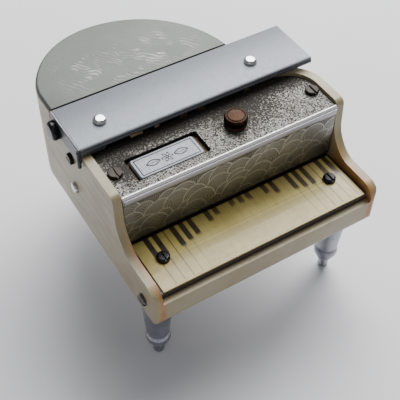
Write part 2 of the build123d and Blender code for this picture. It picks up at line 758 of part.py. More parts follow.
with BuildPart() as flap_bracket:
    block((bracket_left, bracket_front, bracket_under), (bracket_right, bracket_back, flap_under))
    for x, width in ((-7.4, 2.4), (-1.0, 2.2), (15.6, 1.8)):
        tab_low = (x, bracket_front - tab_thick, bracket_under - tab_drop)
        block(tab_low, (x + width, bracket_front, flap_under))
    with BuildSketch(side(ear_x)):
        with Locations((hinge_y, hinge_z)):
            Circle(hub_radius)
        with Locations((bracket_back - 2.5, bracket_under + 0.2)):
            Rectangle(5, 0.4)
        make_hull()
    extrude(amount=ear_thick)
    with BuildSketch(side(crank_x)):
        with Locations((hinge_y, hinge_z)):
            Circle(crank_boss_radius)
        with Locations((bracket_back - 2.0, bracket_under + 0.2)):
            Rectangle(4, 0.4)
        make_hull()
    extrude(amount=ear_thick)
    with BuildSketch(side(crank_x)):
        with Locations((hinge_y, hinge_z)):
            Circle(crank_boss_radius)
        with Locations((hinge_y + crank_radius, hinge_z)):
            Circle(1.1)
        make_hull()
    extrude(amount=ear_thick)
    bar((ear_x - 1, hinge_y, hinge_z), (1, 0, 0), pin_radius + run_gap, 3, Mode.SUBTRACT)
    bar((crank_x - 1, hinge_y + crank_radius, hinge_z), (1, 0, 0), crank_pin_radius, 3, Mode.SUBTRACT)
    for x in (rivet_left_x, rivet_right_x):
        bar((x, rivet_y, bracket_under - 1), (0, 0, 1), screw_radius, 3, Mode.SUBTRACT)
save(flap_bracket, "flap_bracket")

with BuildPart() as crank_pin:
    bar((crank_x, hinge_y + crank_radius, hinge_z), (1, 0, 0), crank_pin_radius,
        link_x + link_thick + 0.5 - crank_x)
save(crank_pin, "crank_pin")

for hand, x in (("left", rivet_left_x), ("right", rivet_right_x)):
    rivet_spot = spot((x, rivet_y, flap_top))
    rivet = headed(rivet_spot, rivet_radius, rivet_height, screw_radius, flap_thick + bracket_thick, edge=1.0)
    save(rivet, f"flap_rivet_{hand}")

with BuildPart() as snuffer_cap:
    cap_low = wick_tube_top - 0.3
    with BuildSketch(at(cap_low)):
        with Locations((wick_x, burner_y)):
            Circle(cap_radius)
    extrude(amount=bracket_under - cap_low)
    with BuildSketch(at(cap_low)):
        with Locations((wick_x, burner_y)):
            Circle(cap_radius - cap_wall)
    extrude(amount=bracket_under - cap_low - cap_wall, mode=Mode.SUBTRACT)
save(snuffer_cap, "snuffer_cap")

with BuildPart() as striker_pawl:
    pawl_left = wheel_x + wheel_width / 2 + 0.2
    with BuildSketch(side(pawl_left)):
        with BuildLine():
            Polyline(
                (bracket_back, bracket_under),
                (bracket_back - 1.6, bracket_under),
                (pawl_tip_y, pawl_tip_z),
                (pawl_tip_y + 0.7, pawl_tip_z),
                close=True,
            )
        make_face()
    extrude(amount=ratchet_width - 0.4)
save(striker_pawl, "striker_pawl")

# ================================================================ link
slot_high = crank_pin_radius + slot_play + 0.08
link_hole_radius = lever_pin_radius + 0.35
with BuildPart() as flap_link:
    slot_z = hinge_z - slot_play
    arm_pin_z = board_under - arm_depth / 2
    foot_low = arm_pin_z - link_foot_drop
    head_back = hinge_y + crank_radius + crank_pin_radius + 1.0
    head_front = hinge_y + crank_radius * cos(radians(flap_angle)) - crank_pin_radius - 1.0
    stem_front = link_stem_y - link_stem_width / 2
    with BuildSketch(side(link_x)):
        with BuildLine():
            Polyline(
                (head_front, slot_z + slot_high + 0.7),
                (head_back, slot_z + slot_high + 0.7),
                (head_back, slot_z - slot_high - 0.8),
                (stem_front + link_stem_width, slot_z - slot_high - 0.8),
                (stem_front + link_stem_width, foot_low),
                (arm_pin_y - 1.8, foot_low),
                (arm_pin_y - 1.8, foot_low + link_foot_height),
                (stem_front, foot_low + link_foot_height),
                (stem_front, slot_z - slot_high - 0.8),
                (head_front, slot_z - slot_high - 0.8),
                close=True,
            )
        make_face()
        with Locations(((head_front + head_back) / 2, slot_z)):
            Rectangle(head_back - head_front - 1.3, 2 * slot_high, mode=Mode.SUBTRACT)
        slot_low = guide_heights[0] - crank_pin_radius - 0.1
        slot_top = guide_heights[1] + crank_pin_radius + 0.1 + link_travel
        with Locations((link_stem_y, (slot_low + slot_top) / 2)):
            Rectangle(2 * (crank_pin_radius + run_gap), slot_top - slot_low, mode=Mode.SUBTRACT)
        with Locations((arm_pin_y, arm_pin_z)):
            Circle(link_hole_radius, mode=Mode.SUBTRACT)
    extrude(amount=link_thick)
save(flap_link, "flap_link")

# ================================================================ keyboard
board_half = inner_half - board_side_gap
key_screw_places = [(-key_screw_x, key_screw_y), (key_screw_x, key_screw_y)]
with BuildPart() as key_board:
    block((-board_half, 0, board_under), (board_half, board_length, board_top))
    for x, y in key_screw_places:
        bar((x, y, board_under - 1), (0, 0, 1), key_hole_radius, 9, Mode.SUBTRACT)
save(key_board, "key_board")

with BuildPart() as key_plate:
    plate_half = board_half - key_plate_inset
    block((-plate_half, 0.15, board_top), (plate_half, fallboard_y - 0.5, key_top))
    for x, y in key_screw_places:
        bar((x, y, board_under - 1), (0, 0, 1), key_hole_radius, 9, Mode.SUBTRACT)
save(key_plate, "key_plate")

with BuildPart() as key_lever:
    lever_half = board_half - 3.5
    block((-lever_half, 2, board_under - lever_thick), (lever_half, board_length - 4, board_under))
    block(
        (arm_x - arm_width / 2, board_length - 5, board_under - arm_depth),
        (arm_x + arm_width / 2, arm_pin_y + 1.5, board_under),
    )
    for x in (-lever_half, lever_half - lever_thick):
        block(
            (x, key_pivot_y - 2, key_pivot_z - 2),
            (x + lever_thick, key_pivot_y + 2, board_under),
        )
    bar((-half, key_pivot_y, key_pivot_z), (1, 0, 0), pin_radius + run_gap, case_width, Mode.SUBTRACT)
    for x, y in key_screw_places:
        bar((x, y, board_under - 3), (0, 0, 1), key_hole_radius, 9, Mode.SUBTRACT)
    bar((arm_x - arm_width, arm_pin_y, arm_pin_z), (1, 0, 0), lever_pin_radius, 3 * arm_width, Mode.SUBTRACT)
save(key_lever, "key_lever")

for hand, (x, y) in zip(("left", "right"), key_screw_places):
    key_shank = key_top - board_under + lever_thick
    key_screw = headed(
        spot((x, y, key_top)), key_screw_radius, 1.4, key_hole_radius - run_gap, key_shank, slot=0.5, edge=0.8
    )
    save(key_screw, f"key_screw_{hand}")

key_pin_spot = spot((-half, key_pivot_y, key_pivot_z), (-1, 0, 0))
save(headed(key_pin_spot, 2.0, 1.0, pin_radius, case_width - 2.5, slot=0.4), "key_pivot_pin")

with BuildPart() as lever_pin:
    bar((arm_x - arm_width / 2, arm_pin_y, arm_pin_z), (1, 0, 0), lever_pin_radius,
        link_x + link_thick + 0.4 - arm_x + arm_width / 2)
save(lever_pin, "lever_pin")

spring_length = board_under - arm_depth - base_top - 0.05
save(coil((arm_x, spring_y, base_top), 1.9, 0.3, spring_length, 4), "return_spring")
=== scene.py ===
# %% [markdown]
# A table lighter in the shape of a miniature grand piano. Its imported CAD model is the frame: it gives
# every size and place, in metres, and the bodies that the joints move. This lesson dresses that frame.
# It first loads it, and gives a way to read any node's box.

# %% The frame
import json
import math

import bmesh
import bpy
import numpy as np
from mathutils import Matrix, Vector


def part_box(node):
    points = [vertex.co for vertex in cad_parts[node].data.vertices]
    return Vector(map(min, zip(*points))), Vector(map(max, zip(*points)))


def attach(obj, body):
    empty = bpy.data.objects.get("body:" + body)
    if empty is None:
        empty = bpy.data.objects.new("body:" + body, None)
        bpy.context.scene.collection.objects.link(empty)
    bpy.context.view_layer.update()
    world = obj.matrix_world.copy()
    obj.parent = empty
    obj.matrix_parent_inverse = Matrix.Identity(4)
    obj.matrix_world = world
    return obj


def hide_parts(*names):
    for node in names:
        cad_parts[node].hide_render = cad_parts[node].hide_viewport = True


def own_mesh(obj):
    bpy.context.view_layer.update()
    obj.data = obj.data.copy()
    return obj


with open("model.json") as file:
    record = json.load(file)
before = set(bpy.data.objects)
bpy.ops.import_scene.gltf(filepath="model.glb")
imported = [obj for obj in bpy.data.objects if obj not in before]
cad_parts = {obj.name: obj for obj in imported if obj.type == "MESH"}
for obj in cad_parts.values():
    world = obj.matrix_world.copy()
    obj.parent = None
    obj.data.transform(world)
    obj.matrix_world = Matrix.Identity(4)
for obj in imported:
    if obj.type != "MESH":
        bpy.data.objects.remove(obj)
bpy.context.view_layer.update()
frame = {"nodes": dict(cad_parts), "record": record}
NODES = frame["nodes"]
BODY_OF = {node: body for body, members in frame["record"]["behaviour"]["bodies"].items() for node in members}
MM = 0.001

# %% [markdown]
# Most places are easiest to say as the maker would: across from the middle of the case, back from the
# front edge of the keys, up from the floor. The key board's box gives that datum, so nothing is typed
# twice. The front edge of the board is y = 0, and the case is symmetrical about x = 0.

# %% The maker's datum
board_low, board_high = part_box("key_board")
DATUM = Vector(((board_low.x + board_high.x) / 2, board_low.y, 0.0))
case_low, case_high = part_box("case_shell")
lid_low, lid_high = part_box("rear_lid")
flap_low, flap_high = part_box("flap")
deck_low, deck_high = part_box("deck_plate")
print("datum, mm:", [round(v / MM, 2) for v in DATUM])

# %% [markdown]
# Every finish here is a network of shader nodes, so two short helpers keep the networks readable: one
# adds a node with its links, and one does a sum. A value that is the same all over a surface is typed
# on the shader itself, because the exported model loses it if it comes through a link.

# %% Node helpers
def add(tree, kind, links=(), **settings):
    """Add one shader node. Each link pairs an input's name or number with a socket or a plain value."""
    node = tree.nodes.new("ShaderNode" + kind)
    for key, value in settings.items():
        setattr(node, key, value)
    for key, value in dict(links).items():
        if isinstance(value, bpy.types.NodeSocket):
            tree.links.new(value, node.inputs[key])
        else:
            node.inputs[key].default_value = value
    return node


def maths(tree, operation, a, b=0.0, c=0.0, clamp=False):
    """One Math node; gives its value."""
    return add(tree, "Math", {0: a, 1: b, 2: c}, operation=operation, use_clamp=clamp).outputs[0]


def mixed(tree, factor, a, b):
    """Colour a where the factor is 0 and colour b where it is 1."""
    node = add(tree, "Mix", data_type="RGBA")
    for socket, value in zip((node.inputs[0], node.inputs[6], node.inputs[7]), (factor, a, b)):
        if isinstance(value, bpy.types.NodeSocket):
            tree.links.new(value, socket)
        else:
            socket.default_value = value
    return node.outputs[2]


def paint(red, green, blue):
    """A colour given as a paint chart gives it, 0 to 255 a channel, as the linear light a shader wants."""
    chart = np.array([red, green, blue]) / 255
    linear = np.where(chart <= 0.04045, chart / 12.92, ((chart + 0.055) / 1.055) ** 2.4)
    return (*linear.tolist(), 1.0)

# %% [markdown]
# The real thing is old, so the same few marks come back on every piece: pits and specks, a fine grain,
# worn edges, and thin bands of tone. Each is a node group made once, with named sockets, so that a
# finish only says how much of it there is.

# %% Shared marks, as node groups
def effect(name, inputs, outputs):
    """Start a node group: inputs are (name, default), outputs are names; a default of None is a vector."""
    tree = bpy.data.node_groups.new(name, "ShaderNodeTree")
    for label, value in inputs:
        kind = "NodeSocketVector" if value is None else "NodeSocketFloat"
        socket = tree.interface.new_socket(label, in_out="INPUT", socket_type=kind)
        if value is not None:
            socket.default_value = value
    for label in outputs:
        tree.interface.new_socket(label, in_out="OUTPUT", socket_type="NodeSocketFloat")
    return tree, tree.nodes.new("NodeGroupInput").outputs, tree.nodes.new("NodeGroupOutput").inputs


def specks_group():
    """Noise above a level that falls as Cover rises gives scattered specks; Soft is how blurred they are."""
    tree, given, out = effect("specks", [("Place", None), ("Scale", 1.0), ("Cover", 0.2), ("Soft", 0.05)], ["Mask"])
    noise = add(tree, "TexNoise", {"Vector": given["Place"], "Scale": given["Scale"], "Detail": 3.0,
                                   "Roughness": 0.6}).outputs[0]
    level = maths(tree, "SUBTRACT", 0.8, maths(tree, "MULTIPLY", given["Cover"], 0.6))
    top = maths(tree, "ADD", level, given["Soft"])
    mask = add(tree, "MapRange", {0: noise, 1: level, 2: top}, interpolation_type="SMOOTHSTEP")
    tree.links.new(mask.outputs[0], out["Mask"])
    return tree


def band_group():
    """1 where Value is within Half of Centre, falling to 0 over Soft on both sides."""
    tree, given, out = effect("band", [("Value", 0.0), ("Centre", 0.0), ("Half", 1.0), ("Soft", 0.1)], ["Mask"])
    away = maths(tree, "ABSOLUTE", maths(tree, "SUBTRACT", given["Value"], given["Centre"]))
    past = maths(tree, "DIVIDE", maths(tree, "SUBTRACT", away, given["Half"]), given["Soft"], clamp=True)
    tree.links.new(maths(tree, "SUBTRACT", 1.0, past), out["Mask"])
    return tree


def wear_group():
    """Edge is 1 on outward corners, where rubbing polishes; Crease is 1 in inward ones."""
    tree, given, out = effect("wear", [("Place", None), ("Patchy", 0.5)], ["Edge", "Crease"])
    point = add(tree, "NewGeometry").outputs["Pointiness"]
    noise = add(tree, "TexNoise", {"Vector": given["Place"], "Scale": 0.5, "Detail": 4.0}).outputs[0]
    patch = maths(tree, "MULTIPLY", maths(tree, "SUBTRACT", noise, 0.5), given["Patchy"])
    for label, low, high in (("Edge", 0.53, 0.62), ("Crease", 0.47, 0.38)):
        reached = add(tree, "MapRange", {0: point, 1: low, 2: high}).outputs[0]
        mask = maths(tree, "MULTIPLY_ADD", reached, 1.0, maths(tree, "MULTIPLY", patch, reached), clamp=True)
        tree.links.new(mask, out[label])
    return tree


def hatching_group():
    """Engraver's hatching: fine waves whose direction wanders, cut only where a second noise lets them."""
    tree, given, out = effect("hatching", [("Place", None), ("Pitch", 1.0), ("Wander", 4.0)], ["Cut"])
    wave = add(tree, "TexWave", {"Vector": given["Place"], "Scale": given["Pitch"], "Distortion": given["Wander"],
                                 "Detail": 2.0, "Detail Scale": 0.35}, wave_type="BANDS", bands_direction="DIAGONAL")
    where = add(tree, "TexNoise", {"Vector": given["Place"], "Scale": 0.16, "Detail": 1.0}).outputs[0]
    there = add(tree, "MapRange", {0: where, 1: 0.42, 2: 0.56}).outputs[0]
    tree.links.new(maths(tree, "MULTIPLY", wave.outputs["Fac"], there), out["Cut"])
    return tree


MARKS = {"specks": specks_group(), "band": band_group(), "wear": wear_group(), "hatching": hatching_group()}
print("marks:", ", ".join(MARKS))

# %% [markdown]
# A finish starts from a Principled shader. Its pattern place is in millimetres from the maker's datum,
# which a Mapping node works out from Object coordinates: every piece's object sits at the origin, so
# the same pattern place means the same spot on all of them.

# %% Starting a finish
class Finish:
    """A material being built: its tree, its shader, and the pattern place in millimetres."""

    def __init__(self, name, roughness=0.4, metallic=0.0, specular=0.5, coat=0.0):
        self.material = bpy.data.materials.new(name)
        self.material.use_nodes = True
        self.tree = self.material.node_tree
        self.shader = self.tree.nodes["Principled BSDF"]
        self.shader.inputs["Metallic"].default_value = metallic
        self.shader.inputs["Roughness"].default_value = roughness
        self.shader.inputs["Specular IOR Level"].default_value = specular
        self.shader.inputs["Coat Weight"].default_value = coat
        where = add(self.tree, "TexCoord").outputs["Object"]
        mapping = add(self.tree, "Mapping", {"Vector": where})
        mapping.inputs["Scale"].default_value = (1 / MM,) * 3
        mapping.inputs["Location"].default_value = tuple(-DATUM / MM)
        self.place = mapping.outputs[0]
        self.x, self.y, self.z = add(self.tree, "SeparateXYZ", {0: self.place}).outputs

    def mark(self, kind, output="Mask", **values):
        """One of the shared marks, with this finish's own values."""
        node = self.tree.nodes.new("ShaderNodeGroup")
        node.node_tree = MARKS[kind]
        if "Place" in node.inputs:
            self.tree.links.new(self.place, node.inputs["Place"])
        for key, value in values.items():
            if isinstance(value, bpy.types.NodeSocket):
                self.tree.links.new(value, node.inputs[key])
            else:
                node.inputs[key].default_value = value
        return node.outputs[output]

    def sum(self, operation, a, b=0.0, c=0.0, clamp=False):
        return maths(self.tree, operation, a, b, c, clamp)

    def stretched(self, sizes):
        """The pattern place with each axis made longer or shorter, for grain that runs one way."""
        return add(self.tree, "VectorMath", {0: self.place, 1: sizes}, operation="MULTIPLY").outputs[0]

    def noise(self, scale, detail=4.0, sizes=None, distortion=0.0):
        place = self.stretched(sizes) if sizes else self.place
        return add(self.tree, "TexNoise", {"Vector": place, "Scale": scale, "Detail": detail,
                                           "Distortion": distortion}).outputs[0]

    def within(self, value, low, high, to_low=0.0, to_high=1.0):
        """The value, from low to high, turned into one from to_low to to_high."""
        return add(self.tree, "MapRange", {0: value, 1: low, 2: high, 3: to_low, 4: to_high}).outputs[0]

    def mix(self, factor, a, b):
        return mixed(self.tree, factor, a, b)

    def end(self, colour=None, roughness=None, metallic=None, heights=()):
        """Link the colour and the rest to the shader. Each height is (value, depth in millimetres)."""
        for label, socket in (("Base Color", colour), ("Roughness", roughness), ("Metallic", metallic)):
            if isinstance(socket, bpy.types.NodeSocket):
                self.tree.links.new(socket, self.shader.inputs[label])
            elif socket is not None:
                self.shader.inputs[label].default_value = socket
        normal = None
        for value, depth in heights:
            bump = add(self.tree, "Bump", {"Height": value, "Strength": 1.0, "Distance": depth * MM})
            if normal:
                self.tree.links.new(normal, bump.inputs["Normal"])
            normal = bump.outputs[0]
        if normal:
            self.tree.links.new(normal, self.shader.inputs["Normal"])
        return self.material


# %% [markdown]
# The case is one ivory moulding. Plastic of that age is creamy where the light has reached it and has
# brown stains in its corners, so the finish mixes three creams with slow noise, darkens the creases,
# and puts a rusty stain on the inner faces of the cheeks, low down beside the keys.

# %% Ivory plastic
def ivory_finish():
    ivory = Finish("ivory_case", roughness=0.42, coat=0.12)
    ivory.shader.inputs["Subsurface Weight"].default_value = 0.12
    ivory.shader.inputs["Subsurface Radius"].default_value = (0.9, 0.6, 0.35)
    ivory.shader.inputs["Subsurface Scale"].default_value = 1.2 * MM
    ivory.shader.inputs["Coat Roughness"].default_value = 0.3
    slow = ivory.within(ivory.noise(0.055, 5.0), 0.35, 0.65)
    body = ivory.mix(slow, paint(157, 146, 118), paint(143, 129, 96))
    inner_x = ivory.sum("ABSOLUTE", ivory.x)
    inside = ivory.mark("band", Value=inner_x, Centre=37.4, Half=0.5, Soft=1.2)
    key_level = board_high.z / MM
    low_down = ivory.within(ivory.z, key_level + 8.0, key_level + 1.0)
    beside_keys = ivory.within(ivory.y, 21.0, 16.0)
    stained = ivory.sum("MULTIPLY", inside, ivory.sum("MULTIPLY", low_down, beside_keys))
    patchy = ivory.within(ivory.noise(0.3, 4.0), 0.3, 0.65, 0.4, 1.0)
    yellowed = ivory.sum("MULTIPLY", inside, beside_keys)
    body = ivory.mix(ivory.sum("MULTIPLY", yellowed, 0.6), body, paint(196, 166, 112))
    body = ivory.mix(ivory.sum("MULTIPLY", stained, patchy), body, paint(150, 92, 42))
    streaks = ivory.within(ivory.noise(0.5, 5.0, sizes=(0.12, 1.0, 2.2)), 0.5, 0.72)
    body = ivory.mix(ivory.sum("MULTIPLY", streaks, 0.35), body, paint(164, 144, 108))
    # darker in inward corners
    crease_dark = ivory.mark("wear", "Crease", Patchy=1.5)
    body = ivory.mix(ivory.sum("MULTIPLY", crease_dark, 0.7), body, paint(112, 92, 62))
    dots = ivory.mark("specks", Scale=1.1, Cover=0.12, Soft=0.03)
    body = ivory.mix(ivory.sum("MULTIPLY", dots, 0.5), body, paint(120, 104, 80))
    scuffs = ivory.noise(0.5, 6.0, sizes=(1.0, 0.15, 1.0))
    rough = ivory.within(scuffs, 0.3, 0.7, 0.3, 0.52)
    return ivory.end(body, rough, heights=[(ivory.noise(0.25, 2.0), 0.06), (ivory.noise(3.0, 3.0), 0.006)])


# %% [markdown]
# The tops are thin plated sheet. New plating mirrors its surroundings; a century of dust and fumes has
# turned it satin and freckled it with pits. One function makes all the plain metals: a base colour, a
# tarnished colour in patches, pits, brighter edges and a fine grain. Each metal only says how much.

# %% Plated and plain metals
def metal_finish(name, bright, dull, roughness=(0.25, 0.45), tarnish=0.5, pits=0.0, pit_scale=2.0,
                 grain=(1.0, 1.0, 1.0), grain_scale=4.0, grain_depth=0.004, edge=0.4, pit_colour=(60, 48, 36),
                 shine=1.0):
    """Two tones of one metal mixed by slow noise, with pits, darker creases and rubbed edges. A shine
    under 1 leaves part of the light scattered, as a dulled film does."""
    metal = Finish(name, metallic=1.0, specular=0.5)
    clouds = metal.within(metal.noise(0.12, 5.0), 0.5 - 0.3 * tarnish, 0.75)
    tone = metal.mix(clouds, paint(*bright), paint(*dull))
    crease = metal.sum("MULTIPLY", metal.mark("wear", "Crease", Patchy=1.0), 0.8)
    tone = metal.mix(crease, tone, paint(*(0.35 * v for v in dull)))
    pitted = metal.mark("specks", Scale=pit_scale, Cover=pits, Soft=0.05)
    tone = metal.mix(metal.sum("MULTIPLY", pitted, 0.85), tone, paint(*pit_colour))
    rubbed = metal.sum("MULTIPLY", metal.mark("wear", "Edge", Patchy=1.0), edge)
    tone = metal.mix(rubbed, tone, paint(*(min(255, 1.18 * v) for v in bright)))
    fine = metal.noise(grain_scale, 3.0, sizes=grain)
    rough = metal.within(metal.sum("ADD", fine, metal.sum("MULTIPLY", pitted, 0.5)), 0.35, 0.9, *roughness)
    metallic = metal.within(pitted, 0.0, 1.0, shine, 0.35 * shine)
    return metal.end(tone, rough, metallic, heights=[(fine, grain_depth), (pitted, -0.02)])


print("finishes start from", Finish.__name__)

# %% [markdown]
# The key plate is a printed celluloid sheet: twenty-four white keys, ruled with thin brown lines, and
# short black keys on the lines in the piano's pattern of twos and threes. Years of fingers have rubbed
# the middle away and left the ends crisp. A modulo turns one ruled line into all of them, and a ramp
# across the keyboard says how much of the ink is left.

# %% Printed keys
KEY_PITCH = 2.977            # between two ruled lines
FIRST_LINE = -31.3           # the ruled line nearest the left end
BACK_OF_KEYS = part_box("fallboard")[0].y / MM - DATUM.y / MM


def ramp(tree, value, stops, interpolation="LINEAR"):
    """A ColorRamp used as a curve: stops are (place, height) pairs; gives a value."""
    node = add(tree, "ValToRGB", {0: value})
    points = node.color_ramp.elements
    node.color_ramp.interpolation = interpolation
    while len(points) < len(stops):
        points.new(0.5)
    for point, (place, height) in zip(points, stops):
        point.position = place
        point.color = (height, height, height, 1.0)
    return node.outputs[0]


def key_finish():
    keys = Finish("key_print", roughness=0.34, coat=0.15)
    slow = keys.within(keys.noise(0.09, 4.0), 0.35, 0.68)
    sheet = keys.mix(slow, paint(206, 192, 112), paint(190, 172, 88))
    along = keys.sum("DIVIDE", keys.sum("SUBTRACT", keys.x, FIRST_LINE), KEY_PITCH)
    nearest = keys.sum("ROUND", along)
    off_line = keys.sum("MULTIPLY", keys.sum("SUBTRACT", along, nearest), KEY_PITCH)
    on_sheet = keys.sum("MULTIPLY", keys.sum("GREATER_THAN", nearest, -0.5), keys.sum("LESS_THAN", nearest, 22.5))
    back = keys.sum("SUBTRACT", BACK_OF_KEYS, keys.y)
    # how much ink is left, across the keyboard: all of it at the ends and hardly any in the middle
    across = keys.within(nearest, 0.0, 22.0)
    kept = ramp(keys.tree, across, [(0.0, 1.0), (0.12, 1.0), (0.22, 0.8), (0.3, 0.55), (0.38, 0.38), (0.5, 0.32),
                                    (0.62, 0.4), (0.7, 0.66), (0.8, 0.9), (0.9, 1.0), (1.0, 1.0)])
    rub = keys.noise(0.45, 5.0, sizes=(1.0, 0.5, 1.0))
    black_long = keys.sum("MULTIPLY", kept, 8.4)
    ragged = keys.sum("MULTIPLY_ADD", keys.sum("SUBTRACT", rub, 0.5), keys.sum("SUBTRACT", 6.5,
                      keys.sum("MULTIPLY", kept, 6.2)), black_long)
    inked = keys.within(keys.sum("SUBTRACT", ragged, back), -0.9, 0.25)
    octave = keys.sum("DIVIDE", keys.sum("FLOORED_MODULO", nearest, 7.0), 7.0)
    sevenths = [(0.0, 1.0), (1.5 / 7, 0.0), (2.5 / 7, 1.0), (5.5 / 7, 0.0)]
    has_black = ramp(keys.tree, octave, sevenths, "CONSTANT")
    bar = keys.mark("band", Value=off_line, Centre=0.0, Half=0.78, Soft=0.16)
    fade = keys.within(keys.sum("ADD", kept, keys.sum("MULTIPLY", rub, 0.5)), 0.25, 0.85, 0.6, 1.0)
    black = keys.sum("MULTIPLY", keys.sum("MULTIPLY", bar, inked), keys.sum("MULTIPLY", has_black, on_sheet))
    black = keys.sum("MULTIPLY", black, fade)
    line = keys.mark("band", Value=off_line, Centre=0.0, Half=0.1, Soft=0.14)
    line_end = keys.within(keys.y, 0.75, 1.15)
    line_kept = ramp(keys.tree, across, [(0.0, 1.0), (0.1, 0.95), (0.17, 0.5), (0.24, 0.12), (0.72, 0.12), (0.8, 0.65),
                                         (0.86, 1.0), (1.0, 1.0)])
    near_back = keys.sum("MULTIPLY", keys.within(back, 4.2, 1.5), 0.5)
    line_kept = keys.sum("MAXIMUM", line_kept, keys.sum("MULTIPLY", near_back, keys.within(rub, 0.4, 0.6)))
    ruled = keys.sum("MULTIPLY", keys.sum("MULTIPLY", line, line_end), keys.sum("MULTIPLY", line_kept, on_sheet))
    ruled = keys.sum("MULTIPLY", ruled, 0.9)
    border = keys.sum("MULTIPLY", keys.mark("band", Value=keys.y, Centre=0.75, Half=0.07, Soft=0.12), 0.45)
    tone = keys.mix(border, sheet, paint(120, 96, 60))
    tone = keys.mix(ruled, tone, paint(48, 36, 18))
    tone = keys.mix(black, tone, paint(12, 12, 9))
    dust = keys.mark("specks", Scale=1.6, Cover=0.14, Soft=0.02)
    tone = keys.mix(keys.sum("MULTIPLY", dust, 0.6), tone, paint(96, 74, 44))
    shade = keys.sum("MULTIPLY", keys.within(back, 1.6, 0.4), 0.2)
    tone = keys.mix(shade, tone, paint(74, 66, 46))
    edge = keys.sum("MULTIPLY", keys.mark("wear", "Edge", Patchy=1.0), 0.4)
    tone = keys.mix(edge, tone, paint(110, 82, 48))
    rough = keys.within(keys.noise(0.8, 5.0), 0.3, 0.7, 0.26, 0.46)
    return keys.end(tone, rough, heights=[(keys.noise(0.12, 2.0), 0.10), (black, -0.006)])


# %% [markdown]
# The deck over the burner has suffered most: heat and fumes have pitted the plating down to the brass
# and left it brown and black around the screw and behind the filler knob. The fallboard below it keeps
# its engraving, blackened on purpose so that it shows. The rear lid carries a faint engraved flourish.

# %% Deck, fallboard and lid metal
def near(finish, x, y, reach):
    """1 at a spot on a level top, falling to 0 over reach millimetres; noise makes its edge uneven."""
    run = finish.sum("SUBTRACT", finish.x, x)
    rise = finish.sum("SUBTRACT", finish.y, y)
    away = finish.sum("SQRT", finish.sum("ADD", finish.sum("MULTIPLY", run, run), finish.sum("MULTIPLY", rise, rise)))
    uneven = finish.sum("MULTIPLY_ADD", finish.noise(0.5, 4.0), 0.8 * reach, away)
    return finish.within(uneven, 1.25 * reach, 0.45 * reach)


def deck_finish():
    deck = Finish("deck_metal", metallic=1.0)
    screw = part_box("deck_screw_left")
    screw_x = ((screw[0] + screw[1]) / 2 - DATUM) / MM
    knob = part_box("filler_screw")
    knob_at = ((knob[0] + knob[1]) / 2 - DATUM) / MM
    clouds = deck.within(deck.noise(0.16, 5.0), 0.35, 0.68)
    tone = deck.mix(clouds, paint(92, 91, 87), paint(72, 69, 62))
    stain_and_shade = deck.sum("MAXIMUM", near(deck, screw_x.x + 4.0, screw_x.y + 1.0, 9.0),
                     near(deck, knob_at.x + 5.0, knob_at.y + 9.0, 19.0))
    # painted shade: the deck under the flap's overhang is darkened too; round the screw and behind the knob the
    # darkening is real stain
    painted_shade_under_flap = deck.within(deck.y, 32.0, 38.5)
    stain_and_shade = deck.sum("MAXIMUM", stain_and_shade, deck.sum("MULTIPLY", painted_shade_under_flap, 0.75))
    tone = deck.mix(deck.sum("MULTIPLY", stain_and_shade, 0.6), tone, paint(62, 52, 38))
    cover = deck.sum("MULTIPLY_ADD", stain_and_shade, 0.34, 0.46)
    pits = deck.mark("specks", Scale=1.7, Cover=cover, Soft=0.05)
    fine = deck.mark("specks", Scale=3.6, Cover=deck.sum("MULTIPLY_ADD", stain_and_shade, 0.2, 0.46), Soft=0.08)
    pale = deck.mark("specks", Scale=2.6, Cover=0.42, Soft=0.06)
    tone = deck.mix(deck.sum("MULTIPLY", pale, 0.5), tone, paint(142, 141, 137))
    tone = deck.mix(deck.sum("MULTIPLY", fine, 0.6), tone, paint(58, 48, 34))
    tone = deck.mix(deck.sum("MULTIPLY", pits, 0.9), tone, paint(26, 22, 17))
    # painted highlight: a near-white band along the deck's front edge stands in for light caught by its bevel
    painted_front_highlight = deck.within(deck.y, BACK_OF_KEYS + 1.0, BACK_OF_KEYS + 0.55)
    tone = deck.mix(deck.sum("MULTIPLY", painted_front_highlight, 0.85), tone, paint(244, 243, 240))
    # under the painted highlight the pits fade, so it stays smooth and metallic
    away_from_highlight = deck.sum("SUBTRACT", 1.0, deck.sum("MULTIPLY", painted_front_highlight, 0.9))
    spoiled = deck.sum("MULTIPLY", deck.sum("MAXIMUM", pits, deck.sum("MULTIPLY", fine, 0.6)), away_from_highlight)
    rough = deck.within(spoiled, 0.0, 1.0, 0.34, 0.8)
    return deck.end(tone, rough, deck.within(spoiled, 0.0, 1.0, 0.7, 0.2),
                    heights=[(spoiled, -0.05), (deck.noise(5.0, 3.0), 0.012)])


